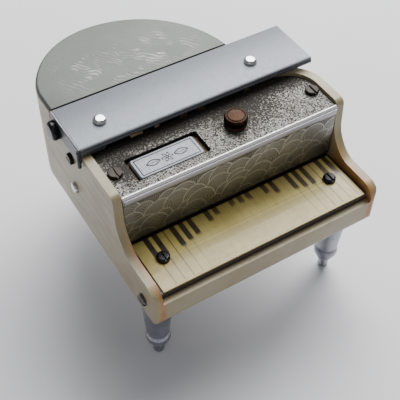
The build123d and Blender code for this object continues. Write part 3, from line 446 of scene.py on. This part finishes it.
def fallboard_finish():
    board = Finish("fallboard_metal", metallic=0.85)
    cut = board.mark("hatching", "Cut", Pitch=0.62, Wander=9.0)
    arcs = add(board.tree, "TexWave", {"Vector": board.stretched((1.0, 1.0, 1.0)), "Scale": 0.30, "Distortion": 3.0,
                                       "Detail": 1.0, "Detail Scale": 0.4},
               wave_type="RINGS", rings_direction="Y").outputs["Fac"]
    depth = board.sum("ADD", cut, board.sum("MULTIPLY", arcs, 0.45))
    panel = board.within(board.z, deck_low.z / MM - 1.7, deck_low.z / MM - 2.0)
    drawn = board.sum("MULTIPLY", depth, panel)
    clouds = board.within(board.noise(0.14, 4.0), 0.35, 0.7)
    tone = board.mix(clouds, paint(112, 109, 98), paint(84, 80, 68))
    tone = board.mix(board.sum("MULTIPLY", drawn, 0.8), tone, paint(152, 150, 136))
    # painted reflection: the strip above the engraved panel is painted a pale lavender grey, a reflection in the metal
    tone = board.mix(board.sum("SUBTRACT", 1.0, panel), tone, paint(160, 158, 164))
    soot = board.mark("specks", Scale=1.4, Cover=0.34, Soft=0.08)
    tone = board.mix(board.sum("MULTIPLY", soot, 0.6), tone, paint(44, 40, 32))
    # painted shade: darker towards the bottom, where the board meets the keys
    low = board.within(board.z, 54.0, 47.5)
    tone = board.mix(board.sum("MULTIPLY", low, 0.5), tone, paint(40, 37, 30))
    rough = board.within(drawn, 0.0, 1.0, 0.38, 0.55)
    return board.end(tone, rough, heights=[(drawn, 0.05), (board.noise(2.5, 3.0), 0.01)])


def lid_finish():
    lid = Finish("lid_metal", metallic=0.55)
    clouds = lid.within(lid.noise(0.05, 5.0), 0.35, 0.7)
    tone = lid.mix(clouds, paint(92, 95, 91), paint(82, 85, 81))
    run = lid.sum("ABSOLUTE", lid.sum("SUBTRACT", lid.x, -8.0))
    middle = lid.sum("MULTIPLY", lid.within(run, 26.0, 16.0), lid.mark("band", Value=lid.y, Centre=70.0, Half=5.5,
                                                                    Soft=4.0))
    scroll = lid.mark("hatching", "Cut", Pitch=0.34, Wander=16.0)
    drawn = lid.sum("MULTIPLY", lid.within(scroll, 0.3, 0.6), middle)
    bright = lid.sum("MULTIPLY", drawn, lid.within(lid.noise(0.2, 2.0), 0.4, 0.6, 0.3, 0.85))
    tone = lid.mix(bright, tone, paint(172, 172, 164))
    freckles = lid.mark("specks", Scale=0.9, Cover=0.24, Soft=0.03)
    tone = lid.mix(lid.sum("MULTIPLY", freckles, 0.6), tone, paint(72, 68, 58))
    mottle = lid.noise(2.4, 4.0)
    tone = lid.mix(lid.within(mottle, 0.45, 0.75, 0.0, 0.4), tone, paint(72, 74, 71))
    rough = lid.within(lid.sum("ADD", mottle, drawn), 0.3, 1.2, 0.5, 0.7)
    return lid.end(tone, rough, heights=[(drawn, -0.02), (mottle, 0.008), (lid.noise(0.6, 3.0), 0.02)])


# %% [markdown]
# The last finishes need no function of their own: black oxide on the screws, brass, spring steel, the
# wick's cotton, the flint and the leather seal. They differ only in colours and in how rough they are.

# %% The rest of the palette
def plain_finish(name, light, dark, roughness, scale, depth, sizes=None, specks=0.15, speck_colour=(40, 34, 26)):
    """Two tones in noise with specks and bump, for what isn't bare metal."""
    plain = Finish(name)
    texture = plain.noise(scale, 5.0, sizes=sizes)
    tone = plain.mix(plain.within(texture, 0.35, 0.65), paint(*light), paint(*dark))
    dots = plain.mark("specks", Scale=1.8, Cover=specks, Soft=0.04)
    tone = plain.mix(plain.sum("MULTIPLY", dots, 0.7), tone, paint(*speck_colour))
    rubbed = plain.sum("MULTIPLY", plain.mark("wear", "Edge", Patchy=1.2), 0.5)
    tone = plain.mix(rubbed, tone, paint(*(min(255, 1.35 * v + 12) for v in light)))
    return plain.end(tone, plain.within(texture, 0.3, 0.7, *roughness), heights=[(texture, depth)])


FINISHES = {
    "ivory_case": ivory_finish(),
    "lid_metal": lid_finish(),
    "flap_metal": metal_finish("flap_metal", (102, 106, 111), (86, 90, 96), (0.46, 0.66), 0.4, 0.3, 2.0, shine=0.6,
                               grain_scale=3.4, grain_depth=0.05, edge=1.0),
    "deck_metal": deck_finish(),
    "fallboard_metal": fallboard_finish(),
    "plate_metal": metal_finish("plate_metal", (168, 172, 176), (150, 153, 156), (0.3, 0.48), 0.3, 0.16, 1.5,
                                grain_scale=6.0, grain_depth=0.01, edge=0.8),
    "chrome": metal_finish("chrome", (206, 206, 204), (170, 168, 160), (0.1, 0.24), 0.4, 0.2, 1.5, edge=0.3),
    "leg_metal": metal_finish("leg_metal", (164, 166, 174), (132, 134, 142), (0.28, 0.46), 0.5, 0.26, 1.3,
                              grain=(0.4, 0.4, 5.0), grain_scale=2.0, grain_depth=0.01, edge=0.6),
    "key_print": key_finish(),
    "key_board": plain_finish("key_board", (30, 17, 10), (14, 8, 5), (0.35, 0.6), 0.5, 0.05, sizes=(0.15, 1.0, 1.6)),
    "dark_screw": metal_finish("dark_screw", (52, 52, 54), (26, 25, 26), (0.22, 0.45), 0.5, 0.3, 2.2, edge=0.45,
                               pit_colour=(92, 62, 40)),
    "rusty_screw": metal_finish("rusty_screw", (58, 56, 53), (34, 32, 29), (0.35, 0.6), 0.7, 0.45, 1.8, edge=0.6,
                                pit_colour=(70, 50, 34), grain_depth=0.02),
    "brass": metal_finish("brass", (74, 58, 38), (38, 30, 21), (0.4, 0.65), 0.7, 0.4, 1.6, edge=0.3),
    "flange_metal": metal_finish("flange_metal", (84, 86, 90), (52, 53, 56), (0.3, 0.5), 0.6, 0.3, 1.4, edge=0.8),
    "tab_brass": metal_finish("tab_brass", (150, 124, 84), (96, 74, 46), (0.35, 0.55), 0.7, 0.36, 1.6, edge=0.5),
    "steel": metal_finish("steel", (118, 118, 118), (78, 76, 72), (0.26, 0.46), 0.6, 0.3, 1.6, edge=0.5,
                          pit_colour=(98, 62, 38)),
    "knob": metal_finish("knob", (50, 33, 22), (34, 22, 15), (0.35, 0.6), 0.7, 0.4, 1.6, edge=0.5,
                         grain_depth=0.012),
    "wick": plain_finish("wick", (206, 198, 178), (96, 84, 66), (0.85, 0.98), 2.6, 0.25, specks=0.3),
    "seal": plain_finish("seal", (92, 44, 30), (52, 26, 18), (0.55, 0.75), 1.8, 0.05),
    "base": plain_finish("base", (66, 62, 56), (40, 37, 33), (0.45, 0.7), 0.6, 0.05, specks=0.3),
    "flint": metal_finish("flint", (104, 102, 98), (66, 64, 60), (0.45, 0.7), 0.7, 0.5, 3.0, grain_depth=0.03),
}
SLOT_OF = {name: node.data.materials[0].name for name, node in NODES.items()}
for name, node in NODES.items():
    for place in range(len(node.material_slots)):
        node.material_slots[place].link = "OBJECT"
        node.material_slots[place].material = FINISHES[SLOT_OF[name]]
for name in ("deck_screw_left", "deck_screw_right"):
    NODES[name].material_slots[0].material = FINISHES["rusty_screw"]
print(len(FINISHES), "finishes on", len(NODES), "nodes")

# %% [markdown]
# A CAD solid has knife edges, and nothing catches the light there. Where only the edges are wrong, the
# node is copied, its loose triangles are welded and its flat faces joined, and a Bevel modifier rounds
# what is sharp. The copy stands for the node, which stays hidden for the physics.

# %% Softened copies
def dress(piece, node_or_body, slot, *replaced):
    """Give a finished piece its body and hide the CAD nodes that it stands for; slot is not used."""
    body = BODY_OF.get(node_or_body, node_or_body)
    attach(piece, body)
    if replaced:
        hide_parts(*replaced)
    return piece


def softened(node, width, segments=2, angle=32, finish=None):
    """A copy of a CAD node, welded, with its flat faces joined and its edges rounded by width millimetres."""
    source = NODES[node].data
    corners = np.empty(len(source.vertices) * 3)
    source.vertices.foreach_get("co", corners)
    mesh = bpy.data.meshes.new(node + "_soft")
    mesh.from_pydata(corners.reshape(-1, 3).tolist(), [], [tuple(p.vertices) for p in source.polygons])
    work = bmesh.new()
    work.from_mesh(mesh)
    bmesh.ops.remove_doubles(work, verts=work.verts, dist=0.002 * MM)
    bmesh.ops.dissolve_limit(work, angle_limit=math.radians(0.6), verts=work.verts, edges=work.edges)
    work.to_mesh(mesh)
    work.free()
    mesh.shade_smooth()
    mesh.set_sharp_from_angle(angle=math.radians(40))
    slot = SLOT_OF[node]
    mesh.materials.append(FINISHES[finish or slot])
    piece = bpy.data.objects.new(node + "_soft", mesh)
    bpy.context.scene.collection.objects.link(piece)
    rounding = piece.modifiers.new("rounded_edges", "BEVEL")
    rounding.width = width * MM
    rounding.segments = segments
    rounding.limit_method = "ANGLE"
    rounding.angle_limit = math.radians(angle)
    rounding.harden_normals = True
    return dress(piece, node, slot, node)


for node, width, segments in (("case_shell", 0.55, 3), ("rear_lid", 0.12, 2), ("key_board", 0.12, 2),
                              ("key_plate", 0.06, 1), ("deck_plate", 0.1, 2), ("fallboard", 0.1, 1),
                              ("flap_bracket", 0.1, 1), ("fuel_tank", 0.3, 2), ("side_plate_right", 0.12, 1),
                              ("side_plate_left", 0.12, 1), ("base_plate", 0.12, 1),
                              ("striker_frame", 0.1, 1), ("flap_link", 0.1, 1), ("key_lever", 0.12, 1)):
    piece = softened(node, width, segments, finish="tab_brass" if node == "flap_bracket" else None)
    print(piece.name, len(piece.data.polygons), "faces before rounding")

# %% [markdown]
# The other pieces are surfaces of their own. Each is a grid of points, worked out as whole arrays from
# two parameters, and one helper joins any such grid into a mesh. It merges the points that meet at a
# seam or a pole, closes the ends and turns the faces outwards.

# %% From a grid of points to a piece
def surface(name, points, finish, around=False, sharp=40, cut=None):
    """Join a grid of points (rows, columns, xyz), in metres, into quads; around also joins its last column
    to its first. cut is how deeply each point is engraved, from 0 to 1, kept as an attribute."""
    rows, columns = points.shape[:2]
    index = np.arange(rows * columns).reshape(rows, columns)
    if around:
        index = np.concatenate([index, index[:, :1]], axis=1)
    quads = np.stack([index[:-1, :-1], index[:-1, 1:], index[1:, 1:], index[1:, :-1]], axis=-1).reshape(-1, 4)
    mesh = bpy.data.meshes.new(name)
    mesh.from_pydata(points.reshape(-1, 3).tolist(), [], quads.tolist())
    if cut is not None:
        mesh.attributes.new("cut", "FLOAT", "POINT").data.foreach_set("value", cut.astype(np.float32).ravel())
    work = bmesh.new()
    work.from_mesh(mesh)
    bmesh.ops.remove_doubles(work, verts=work.verts, dist=0.0005 * MM)
    bmesh.ops.dissolve_degenerate(work, edges=work.edges, dist=0.0001 * MM)
    bmesh.ops.holes_fill(work, edges=[edge for edge in work.edges if edge.is_boundary], sides=0)
    bmesh.ops.recalc_face_normals(work, faces=work.faces)
    work.to_mesh(mesh)
    work.free()
    mesh.shade_smooth()
    mesh.set_sharp_from_angle(angle=math.radians(sharp))
    mesh.materials.append(finish)
    piece = bpy.data.objects.new(name, mesh)
    bpy.context.scene.collection.objects.link(piece)
    print(name, len(mesh.polygons), "faces")
    return piece


def rounded_line(corners, step=0.05, soft=5):
    """Points every step along straight runs between corners, then averaged over soft of them, so that
    each corner is rounded a little and the two ends stay where they are."""
    corners = np.array(corners, float)
    runs = np.concatenate([[0], np.cumsum(np.hypot(*np.diff(corners, axis=0).T))])
    along = np.linspace(0, runs[-1], max(8, int(runs[-1] / step)))
    line = np.stack([np.interp(along, runs, corners[:, axis]) for axis in range(2)], axis=1)
    padded = np.pad(line, ((soft // 2, soft // 2), (0, 0)), mode="edge")
    line = np.stack([np.convolve(padded[:, axis], np.ones(soft) / soft, "valid") for axis in range(2)], axis=1)
    line[0], line[-1] = corners[0], corners[-1]
    return line


def turned(name, line, centre, finish, steps=64, ribs=None, sharp=40):
    """A profile of (radius, height) in millimetres turned about an upright axis: each point is centre plus
    radius times (cos, sin) of the angle. ribs(angle, height) is added to the radius."""
    angle = np.linspace(0, 2 * np.pi, steps, endpoint=False)[None, :]
    radius, height = line[:, 0][:, None], line[:, 1][:, None]
    if ribs:
        radius = np.maximum(radius + ribs(angle, height) * (radius > 0), 0)
    ring = np.stack([radius * np.cos(angle), radius * np.sin(angle), height + 0 * angle], axis=-1)
    return surface(name, np.array(centre) + ring * MM, finish, around=True, sharp=sharp)


def middle(node):
    """The middle of a node's box."""
    low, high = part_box(node)
    return (low + high) / 2


# %% [markdown]
# The three legs are turned aluminium: a stub foot, a collar, a swelling bead and a cone up to the case.
# A turned thing is a profile spun about its axis, so the whole leg is one line of radii and heights.

# %% Turned legs
def leg(node):
    """Radii and heights from the floor up; the thin stud inside the case ends the line on the axis."""
    low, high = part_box(node)
    case_floor, stud_top = case_low.z / MM, high.z / MM
    line = rounded_line([(0, 0), (1.35, 0), (1.8, 0.45), (1.75, 4.7), (2.5, 4.85), (2.8, 5.1), (2.8, 5.6), (2.35, 5.85),
                         (2.35, 6.25), (3.2, 6.6), (3.85, 7.5), (4.1, 8.6), (4.0, 9.8), (3.5, 10.7), (3.3, 10.9),
                         (3.35, 11.15), (3.75, 11.4), (3.95, 14.0), (5.2, case_floor - 0.6), (5.2, case_floor),
                         (1.5, case_floor), (1.5, stud_top), (0, stud_top)], step=0.1, soft=5)
    place = middle(node)
    shape = turned(node + "_turned", line, (place.x, place.y, 0), FINISHES["leg_metal"], steps=56)
    return dress(shape, node, SLOT_OF[node], node)


for node in ("leg_front_left", "leg_front_right", "leg_rear"):
    leg(node)

# %% [markdown]
# The filler knob is brass gone brown, with a knurled rim to grip and a ring cut in its top. Knurling is
# a rib pattern added to the radius, where the side is upright, and it fades out at the two chamfers.

# %% Knurled filler knob
knob_low, knob_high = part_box("filler_screw")
KNOB_RADIUS = (knob_high.x - knob_low.x) / 2 / MM
knob_top = knob_high.z / MM
KNOB_FOOT = knob_top - 2.85


def knurl(angle, height):
    """Thirty-two ribs round the rim: the size of the angle's wave, faded out above and below the side."""
    side = np.clip((height - KNOB_FOOT - 0.2) / 0.25, 0, 1) * np.clip((knob_top - 0.55 - height) / 0.25, 0, 1)
    return -0.24 * side * (1 - np.abs(np.cos(16 * angle)))


knob_line = rounded_line([(0, knob_low.z / MM), (1.7, knob_low.z / MM), (1.7, KNOB_FOOT), (3.3, KNOB_FOOT),
                          (KNOB_RADIUS, KNOB_FOOT + 0.3), (KNOB_RADIUS, knob_top - 0.6), (3.25, knob_top - 0.2),
                          (2.95, knob_top - 0.12), (2.8, knob_top - 0.3), (2.6, knob_top - 0.3), (2.45, knob_top - 0.06),
                          (1.2, knob_top - 0.01), (0, knob_top)], step=0.08, soft=3)
place = middle("filler_screw")
knob = turned("filler_knob", knob_line, (place.x, place.y, 0), FINISHES["knob"], steps=192, ribs=knurl, sharp=50)
dress(knob, "filler_screw", "knob", "filler_screw")

# %% [markdown]
# The wick is twisted cotton. It only shows when the flap is up, and three strands round each other are
# enough: the radius swells three times a turn, and the swelling climbs as a screw does.

# %% Twisted wick
wick_low, wick_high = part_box("wick")
wick_line = rounded_line([(0, wick_low.z / MM), (1.25, wick_low.z / MM), (1.25, wick_high.z / MM - 0.5),
                          (0.8, wick_high.z / MM - 0.1), (0, wick_high.z / MM)], step=0.12, soft=3)
place = middle("wick")
wick = turned("twisted_wick", wick_line, (place.x, place.y, 0), FINISHES["wick"], steps=60,
              ribs=lambda angle, height: -0.14 * np.abs(np.sin(1.5 * angle + 1.6 * height)), sharp=70)
dress(wick, "wick", "wick", "wick")

# %% [markdown]
# The spring under the keyboard's arm is wire wound round a helix. It stands on the base and shortens as
# the keys go down, which no rigid piece can do; here it is built at rest, and only its foot is worked out.

# %% Return spring
spring_low, spring_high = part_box("return_spring")
WIRE = 0.3                   # radius of the wire
TURNS = 4


def coil(name, place, reach, low, high, finish, steps=40, sides=10):
    """Wire round a helix: its middle is reach out at angle a and climbs evenly with a, and round that the
    wire's own circle is laid out along the outward direction and straight up."""
    a = np.linspace(0, 2 * np.pi * TURNS, steps * TURNS + 1)[:, None]
    b = np.linspace(0, 2 * np.pi, sides, endpoint=False)[None, :]
    radius = reach + WIRE * np.cos(b)
    height = low + WIRE + (high - low - 2 * WIRE) * a / (2 * np.pi * TURNS) + WIRE * np.sin(b)
    points = np.stack([radius * np.cos(a), radius * np.sin(a), height], axis=-1)
    return surface(name, np.array((place.x, place.y, 0)) + points * MM, finish, around=True, sharp=60)


spring_reach = (spring_high.x - spring_low.x) / 2 / MM - WIRE
spring = coil("return_coil", middle("return_spring"), spring_reach, spring_low.z / MM, spring_high.z / MM,
              FINISHES["steel"])
dress(spring, "return_spring", "steel", "return_spring")
spring_foot = middle("return_spring")
spring_foot.z = spring_low.z
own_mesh(spring)

# %% [markdown]
# Engraving is a groove with dark in it. The height of the metal is a function of its place, and the same
# function, kept as an attribute, tells the finish where the dark goes. The plate under the window gets
# a plain ornament of the kind a die shop keeps in stock: a flower between two leaves, inside a line.

# %% Engraved name plate
def groove(distance, width):
    """1 on a line and 0 away from it, as a smooth bell of the given half width."""
    return np.exp(-((distance / width) ** 2))


def rosette(u, v, half_u, half_v):
    """How deep the plate is cut at (u, v), millimetres from its middle: a straight line inside its rim, a
    six-petalled flower whose radius swells with the angle, and a leaf each side, two half waves that meet
    at their tips with a rib between them."""
    rim = np.maximum(np.abs(u) - half_u, np.abs(v) - half_v)
    away, angle = np.hypot(u, v), np.arctan2(v, u)
    flower = np.maximum(groove(away - 1.25 - 0.5 * np.cos(6 * angle), 0.13), groove(away - 0.4, 0.12))
    along = (np.abs(u) - 2.3) / 4.6
    on_leaf = (along > 0) & (along < 1)
    edge = 1.05 * np.sin(np.pi * np.clip(along, 0, 1))
    leaf = np.maximum(groove(np.abs(v) - edge, 0.12), 0.7 * groove(v, 0.09)) * on_leaf
    return np.clip(groove(rim, 0.1) + flower + leaf, 0, 1)


def engraved_finish(name, bright, dull, ink, roughness, depth_of_ink=0.8, soot=0.0):
    """Plate metal whose engraved attribute is darkened with ink."""
    plate = Finish(name, metallic=1.0)
    cut = add(plate.tree, "Attribute", attribute_name="cut").outputs["Fac"]
    clouds = plate.within(plate.noise(0.14, 5.0), 0.35, 0.7)
    tone = plate.mix(clouds, paint(*bright), paint(*dull))
    grain = plate.noise(3.2, 3.0)
    tone = plate.mix(plate.within(grain, 0.5, 0.75, 0.0, 0.3), tone, paint(*(0.8 * v for v in dull)))
    tone = plate.mix(plate.sum("MULTIPLY", cut, depth_of_ink), tone, paint(*ink))
    if soot:
        dots = plate.mark("specks", Scale=1.3, Cover=soot, Soft=0.1)
        tone = plate.mix(plate.sum("MULTIPLY", dots, 0.6), tone, paint(*(0.5 * v for v in dull)))
    return plate, tone, grain, plate.within(grain, 0.3, 0.7, *roughness)


def plate_piece():
    """A plate seen as a grid (u across, v back): the corners are drawn in to quarter circles, the rim slopes
    down, and past the rim the grid goes straight down and closes underneath."""
    low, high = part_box("name_plate")
    centre = (low + high) / 2
    half_x, half_y = (high.x - low.x) / 2 / MM, (high.y - low.y) / 2 / MM
    tall, corner, slope = (high.z - low.z) / MM, 1.2, 0.5
    u, v = np.meshgrid(np.linspace(-half_x, half_x, 272), np.linspace(-half_y, half_y, 108), indexing="ij")
    over_x = np.maximum(np.abs(u) - half_x + corner, 0)
    over_y = np.maximum(np.abs(v) - half_y + corner, 0)
    over = np.hypot(over_x, over_y)
    draw = np.where(over > corner, corner / np.maximum(over, 1e-9), 1)
    u = np.sign(u) * (np.abs(u) - over_x + over_x * draw)
    v = np.sign(v) * (np.abs(v) - over_y + over_y * draw)
    inside = np.minimum(np.minimum(half_x - np.abs(u), half_y - np.abs(v)), corner - np.minimum(over, corner) * (
        (over_x > 0) & (over_y > 0)))
    cut = rosette(u, v, half_x - 1.3, half_y - 1.1)
    z = tall - 0.34 * np.clip(1 - inside / slope, 0, 1) - 0.1 * cut
    top = np.stack([u, v, z], axis=-1)
    grid = np.pad(top, ((1, 1), (1, 1), (0, 0)), mode="edge")
    for edge in (np.s_[0, :], np.s_[-1, :], np.s_[:, 0], np.s_[:, -1]):
        grid[edge][..., 2] = 0
    cut = np.pad(cut, 1)
    points = np.array((centre.x, centre.y, low.z)) + grid * MM
    plate, tone, grain, rough = engraved_finish("plate_metal_engraved", (110, 113, 116), (98, 101, 105), (14, 14, 13),
                                                (0.4, 0.56), 1.0)
    finish = plate.end(tone, rough, heights=[(grain, 0.012)])
    return dress(surface("name_plate_engraved", points, finish, cut=cut, sharp=30), "name_plate", "plate_metal",
                 "name_plate")


plate_piece()

# %% [markdown]
# The fallboard's picture was rolled into the sheet with a steel die: banks of curved lines, one in front
# of the other, inside a plain border. Each bank is a set of rings about its own centre, and a nearer
# bank covers a farther one, which is all that "in front" takes.

# %% Engraved fallboard
def banks(u, v, wide, tall):
    """How deep the picture is cut at (u, v): for each bank, rings 0.5 mm apart about its centre, which
    replace what was there before inside its radius; fine upright strokes fill the sky behind them."""
    rows = np.random.default_rng(7)
    deep = 0.45 * groove(((u + 0.25 * np.sin(v)) % 0.7) - 0.35, 0.12)
    for tier, base in enumerate(np.linspace(0.62, -0.12, 5)):
        for place in np.arange(-wide, wide + 6, 6.6) + 3.3 * (tier % 2):
            centre_u = place + rows.uniform(-1.6, 1.6)
            centre_v = base * tall + rows.uniform(-0.8, 0.8)
            reach = rows.uniform(3.2, 5.4)
            away = np.hypot(u - centre_u, (v - centre_v) * rows.uniform(0.8, 1.2))
            rings = groove(((away + 0.12 * np.sin(3 * u)) % 0.5) - 0.25, 0.11) * 0.8
            rim = groove(away - reach, 0.16)
            deep = np.where(away < reach, rings, deep)
            deep = np.maximum(deep, rim)
    return deep


def fallboard_picture():
    """A closed sheet just proud of the board: a grid across and up, set in by the depth of the cut, with a
    raised border at the top and a back face that closes it."""
    low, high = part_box("fallboard")
    wide, bottom, top = (high.x - low.x) / 2 / MM - 0.3, low.z / MM + 0.1, high.z / MM - 0.05
    u, z = np.meshgrid(np.linspace(-wide, wide, 500), np.linspace(bottom, top, 124), indexing="ij")
    border = np.clip((z - (top - 2.3)) / 0.25, 0, 1)
    cut = banks(u, z - bottom, wide, top - bottom) * (1 - border)
    cut *= np.clip((z - bottom) / 0.8, 0, 1)
    fold = np.maximum(0, 0.12 * (1 - ((z - (top - 1.0)) / 1.15) ** 2)) * border
    proud = 0.14 + 0.16 * border + fold - 0.06 * cut
    y = low.y / MM - proud
    front_face = np.stack([u, y, z], axis=-1)
    grid = np.pad(front_face, ((1, 1), (1, 1), (0, 0)), mode="edge")
    for edge in (np.s_[0, :], np.s_[-1, :], np.s_[:, 0], np.s_[:, -1]):
        grid[edge][..., 1] = low.y / MM + 0.05
    board, tone, grain, rough = engraved_finish("fallboard_engraved", (98, 98, 95), (74, 73, 69), (206, 205, 198),
                                                (0.36, 0.56), 0.85, soot=0.3)
    # painted reflection: the border strip at the top is painted a pale lavender grey, a reflection in the metal
    plain = board.within(board.z, top - 2.35, top - 2.15)
    tone = board.mix(board.sum("MULTIPLY", plain, 0.9), tone, paint(170, 168, 174))
    line = board.mark("band", Value=board.z, Centre=top - 2.3, Half=0.08, Soft=0.12)
    tone = board.mix(board.sum("MULTIPLY", line, 0.8), tone, paint(30, 29, 28))
    # painted shade: darker towards the bottom, where the board meets the keys
    low_down = board.within(board.z, bottom + 7.0, bottom)
    tone = board.mix(board.sum("MULTIPLY", low_down, 0.35), tone, paint(80, 74, 62))
    finish = board.end(tone, rough, heights=[(grain, 0.015)])
    points = np.array((DATUM.x, 0.0, 0.0)) + grid * MM
    picture = surface("fallboard_picture", points, finish, cut=np.pad(cut, 1), sharp=60)
    return dress(picture, "fallboard", "fallboard_metal")


fallboard_picture()

# %% [markdown]
# The flap is a strip of plated sheet whose front edge was rolled over twice, which gives its two bright
# lines, and then turned down as a lip. A folded sheet is one profile carried along a line. Only the
# lip's depth changes on the way: it is deeper at the left end, where a thumb would lift it.

# %% The flap's folded sheet
flap_front, flap_back = flap_low.y / MM, flap_high.y / MM
flap_top = flap_high.z / MM
FLANGE = 0.7                 # the end flange's thickness
ROLL = 0.6                   # radius of the roll at its front corner
flap_left = flap_low.x / MM + ROLL


def fold(lip):
    """The strip's section: (back from the front edge, down from the top), for one depth of lip."""
    deep = flap_back - flap_front
    return [(deep, 0.2), (deep - 0.2, 0), (1.2, 0), (0.85, 0.03), (0.52, 0.13), (0.28, 0.32), (0.18, 0.56), (0.2, 0.72),
            (0.34, 0.84), (0.34, 0.92), (0.14, 1.02), (0.02, 1.2), (0.0, 1.4), (0.06, 1.62), (0.14, lip - 0.12),
            (0.32, lip), (0.56, lip - 0.05), (0.7, lip - 0.3), (0.7, 1.0), (0.86, 0.8), (deep - 0.2, 0.8), (deep, 0.6)]


def flap_sheet():
    """The section carried from the flange to the right end: at each place across, its lip depth blends
    from 3 mm to 2 mm between 8.2 and 9.2 mm from the left end."""
    left, right_end = flap_left + FLANGE - 0.05, flap_high.x / MM
    places = np.unique(np.concatenate([np.linspace(left, right_end, 90), left + np.linspace(6.5, 9.5, 40)]))
    shallow, deeper = np.array(fold(2.0)), np.array(fold(3.0))
    blend = np.clip((places - left - 7.4) / 0.9, 0, 1)
    blend = (blend * blend * (3 - 2 * blend))[:, None, None]
    section = deeper * (1 - blend) + shallow * blend
    points = np.stack([np.broadcast_to(places[:, None], section.shape[:2]), flap_front + section[..., 0],
                       flap_top - section[..., 1]], axis=-1)
    sheet = surface("flap_sheet", points * MM, FINISHES["flap_metal"], around=True, sharp=60)
    rounding = sheet.modifiers.new("rounded_ends", "BEVEL")
    rounding.width, rounding.segments = 0.12 * MM, 2
    rounding.limit_method, rounding.angle_limit = "ANGLE", math.radians(65)
    return dress(sheet, "flap", "flap_metal", "flap")


def flap_flange():
    """The end flange: an outline of front edge, lower edge and the lobe round the hinge, given thickness
    by four copies of it, the outer two drawn in a little to soften the rims."""
    hinge = middle("hinge_pin")
    hinge_y, hinge_z = hinge.y / MM, hinge.z / MM
    lobe = np.radians(np.linspace(196, 360, 40))
    low_front = np.radians(np.linspace(180, 270, 10))
    foot = flap_top - 5.8
    outline = np.concatenate([
        [(flap_back, flap_top - 0.3), (flap_back - 0.3, flap_top), (flap_front + 0.9, flap_top)],
        np.stack([flap_front + 0.75 + 0.75 * np.cos(np.radians(np.linspace(90, 180, 8))),
                  flap_top - 0.75 + 0.75 * np.sin(np.radians(np.linspace(90, 180, 8)))], axis=1),
        np.stack([flap_front + 1.2 + 1.2 * np.cos(low_front), foot + 1.2 + 1.2 * np.sin(low_front)], axis=1),
        np.stack([hinge_y + 3.0 * np.cos(lobe), hinge_z + 3.0 * np.sin(lobe)], axis=1),
    ])
    centre = outline.mean(0)
    away = outline - centre
    size = np.linalg.norm(away, axis=1, keepdims=True)
    layers = []
    for inset, depth in ((0.16, 0.0), (0.0, 0.14), (0.0, FLANGE - 0.14), (0.16, FLANGE)):
        ring = centre + away * (1 - inset / size)
        layers.append(np.column_stack([np.full(len(ring), flap_left + depth), ring]))
    flange = surface("flap_flange", np.array(layers) * MM, FINISHES["flange_metal"], around=True, sharp=30)
    return dress(flange, "flap", "flap_metal")


flap_sheet()
flap_flange()
roll_line = rounded_line([(0, flap_top - 7.0), (0.42, flap_top - 7.0), (ROLL, flap_top - 6.7), (ROLL, flap_top - 0.7),
                          (0.4, flap_top - 0.45), (0, flap_top - 0.4)], step=0.08, soft=3)
roll_place = (flap_left * MM, flap_low.y + ROLL * MM, 0)
roll = turned("flap_corner_roll", roll_line, roll_place, FINISHES["flange_metal"], steps=32)
dress(roll, "flap", "flap_metal")

# %% [markdown]
# The light is one large soft source behind and to the right, with a weak fill from the front, over a
# pale floor. The camera looks down at the keys from the front left, with a long lens, so the case's
# sides hardly converge.

# %% Floor, light and camera
def studio_floor():
    """A wide level sheet at floor height with faint unevenness in its tone."""
    half = 1.5
    mesh = bpy.data.meshes.new("floor")
    mesh.from_pydata([(-half, -half, 0), (half, -half, 0), (half, half, 0), (-half, half, 0)], [], [(0, 1, 2, 3)])
    floor = bpy.data.objects.new("floor", mesh)
    bpy.context.scene.collection.objects.link(floor)
    pale = Finish("floor_paper", roughness=0.85, specular=0.2)
    cloud = pale.within(pale.noise(0.01, 3.0), 0.3, 0.7)
    mesh.materials.append(pale.end(pale.mix(cloud, paint(226, 226, 229), paint(219, 219, 222))))
    return floor


def soft_light(name, place, aim, size, power, colour=(1, 1, 1)):
    """A square area light at a place, turned to face a point."""
    light = bpy.data.lights.new(name, "AREA")
    light.size = size
    light.energy = power
    light.color = colour
    lamp = bpy.data.objects.new(name, light)
    bpy.context.scene.collection.objects.link(lamp)
    lamp.location = place
    lamp.rotation_euler = (Vector(aim) - Vector(place)).to_track_quat("-Z", "Y").to_euler()
    return lamp


studio_floor()
soft_light("window_light", (0.52, 0.50, 0.80), (0, 0, 0.03), 1.0, 32.0)
soft_light("front_fill", (-0.6, -0.7, 0.9), (0, 0, 0.03), 0.9, 0.8)
world = bpy.data.worlds.new("studio")
bpy.context.scene.world = world
world.use_nodes = True
world.node_tree.nodes["Background"].inputs["Color"].default_value = (0.86, 0.88, 0.92, 1)
world.node_tree.nodes["Background"].inputs["Strength"].default_value = 0.33

camera_data = bpy.data.cameras.new("camera")
camera_data.lens = 72.2
camera_data.sensor_width = 36.0
camera_data.clip_start = 0.01
camera = bpy.data.objects.new("camera", camera_data)
bpy.context.scene.collection.objects.link(camera)
right = Vector((0.851598, -0.523906, 0.016275))
up = Vector((0.387056, 0.649455, 0.654537))
back = Vector((-0.35351, -0.551118, 0.755855))
turn = Matrix((right, up, back)).transposed().to_4x4()
camera.matrix_world = Matrix.Translation(DATUM + Vector((-0.09645, -0.11171, 0.23097))) @ turn
bpy.context.scene.camera = camera
print("camera to the keys, m:", round((camera.location - DATUM).length, 3))
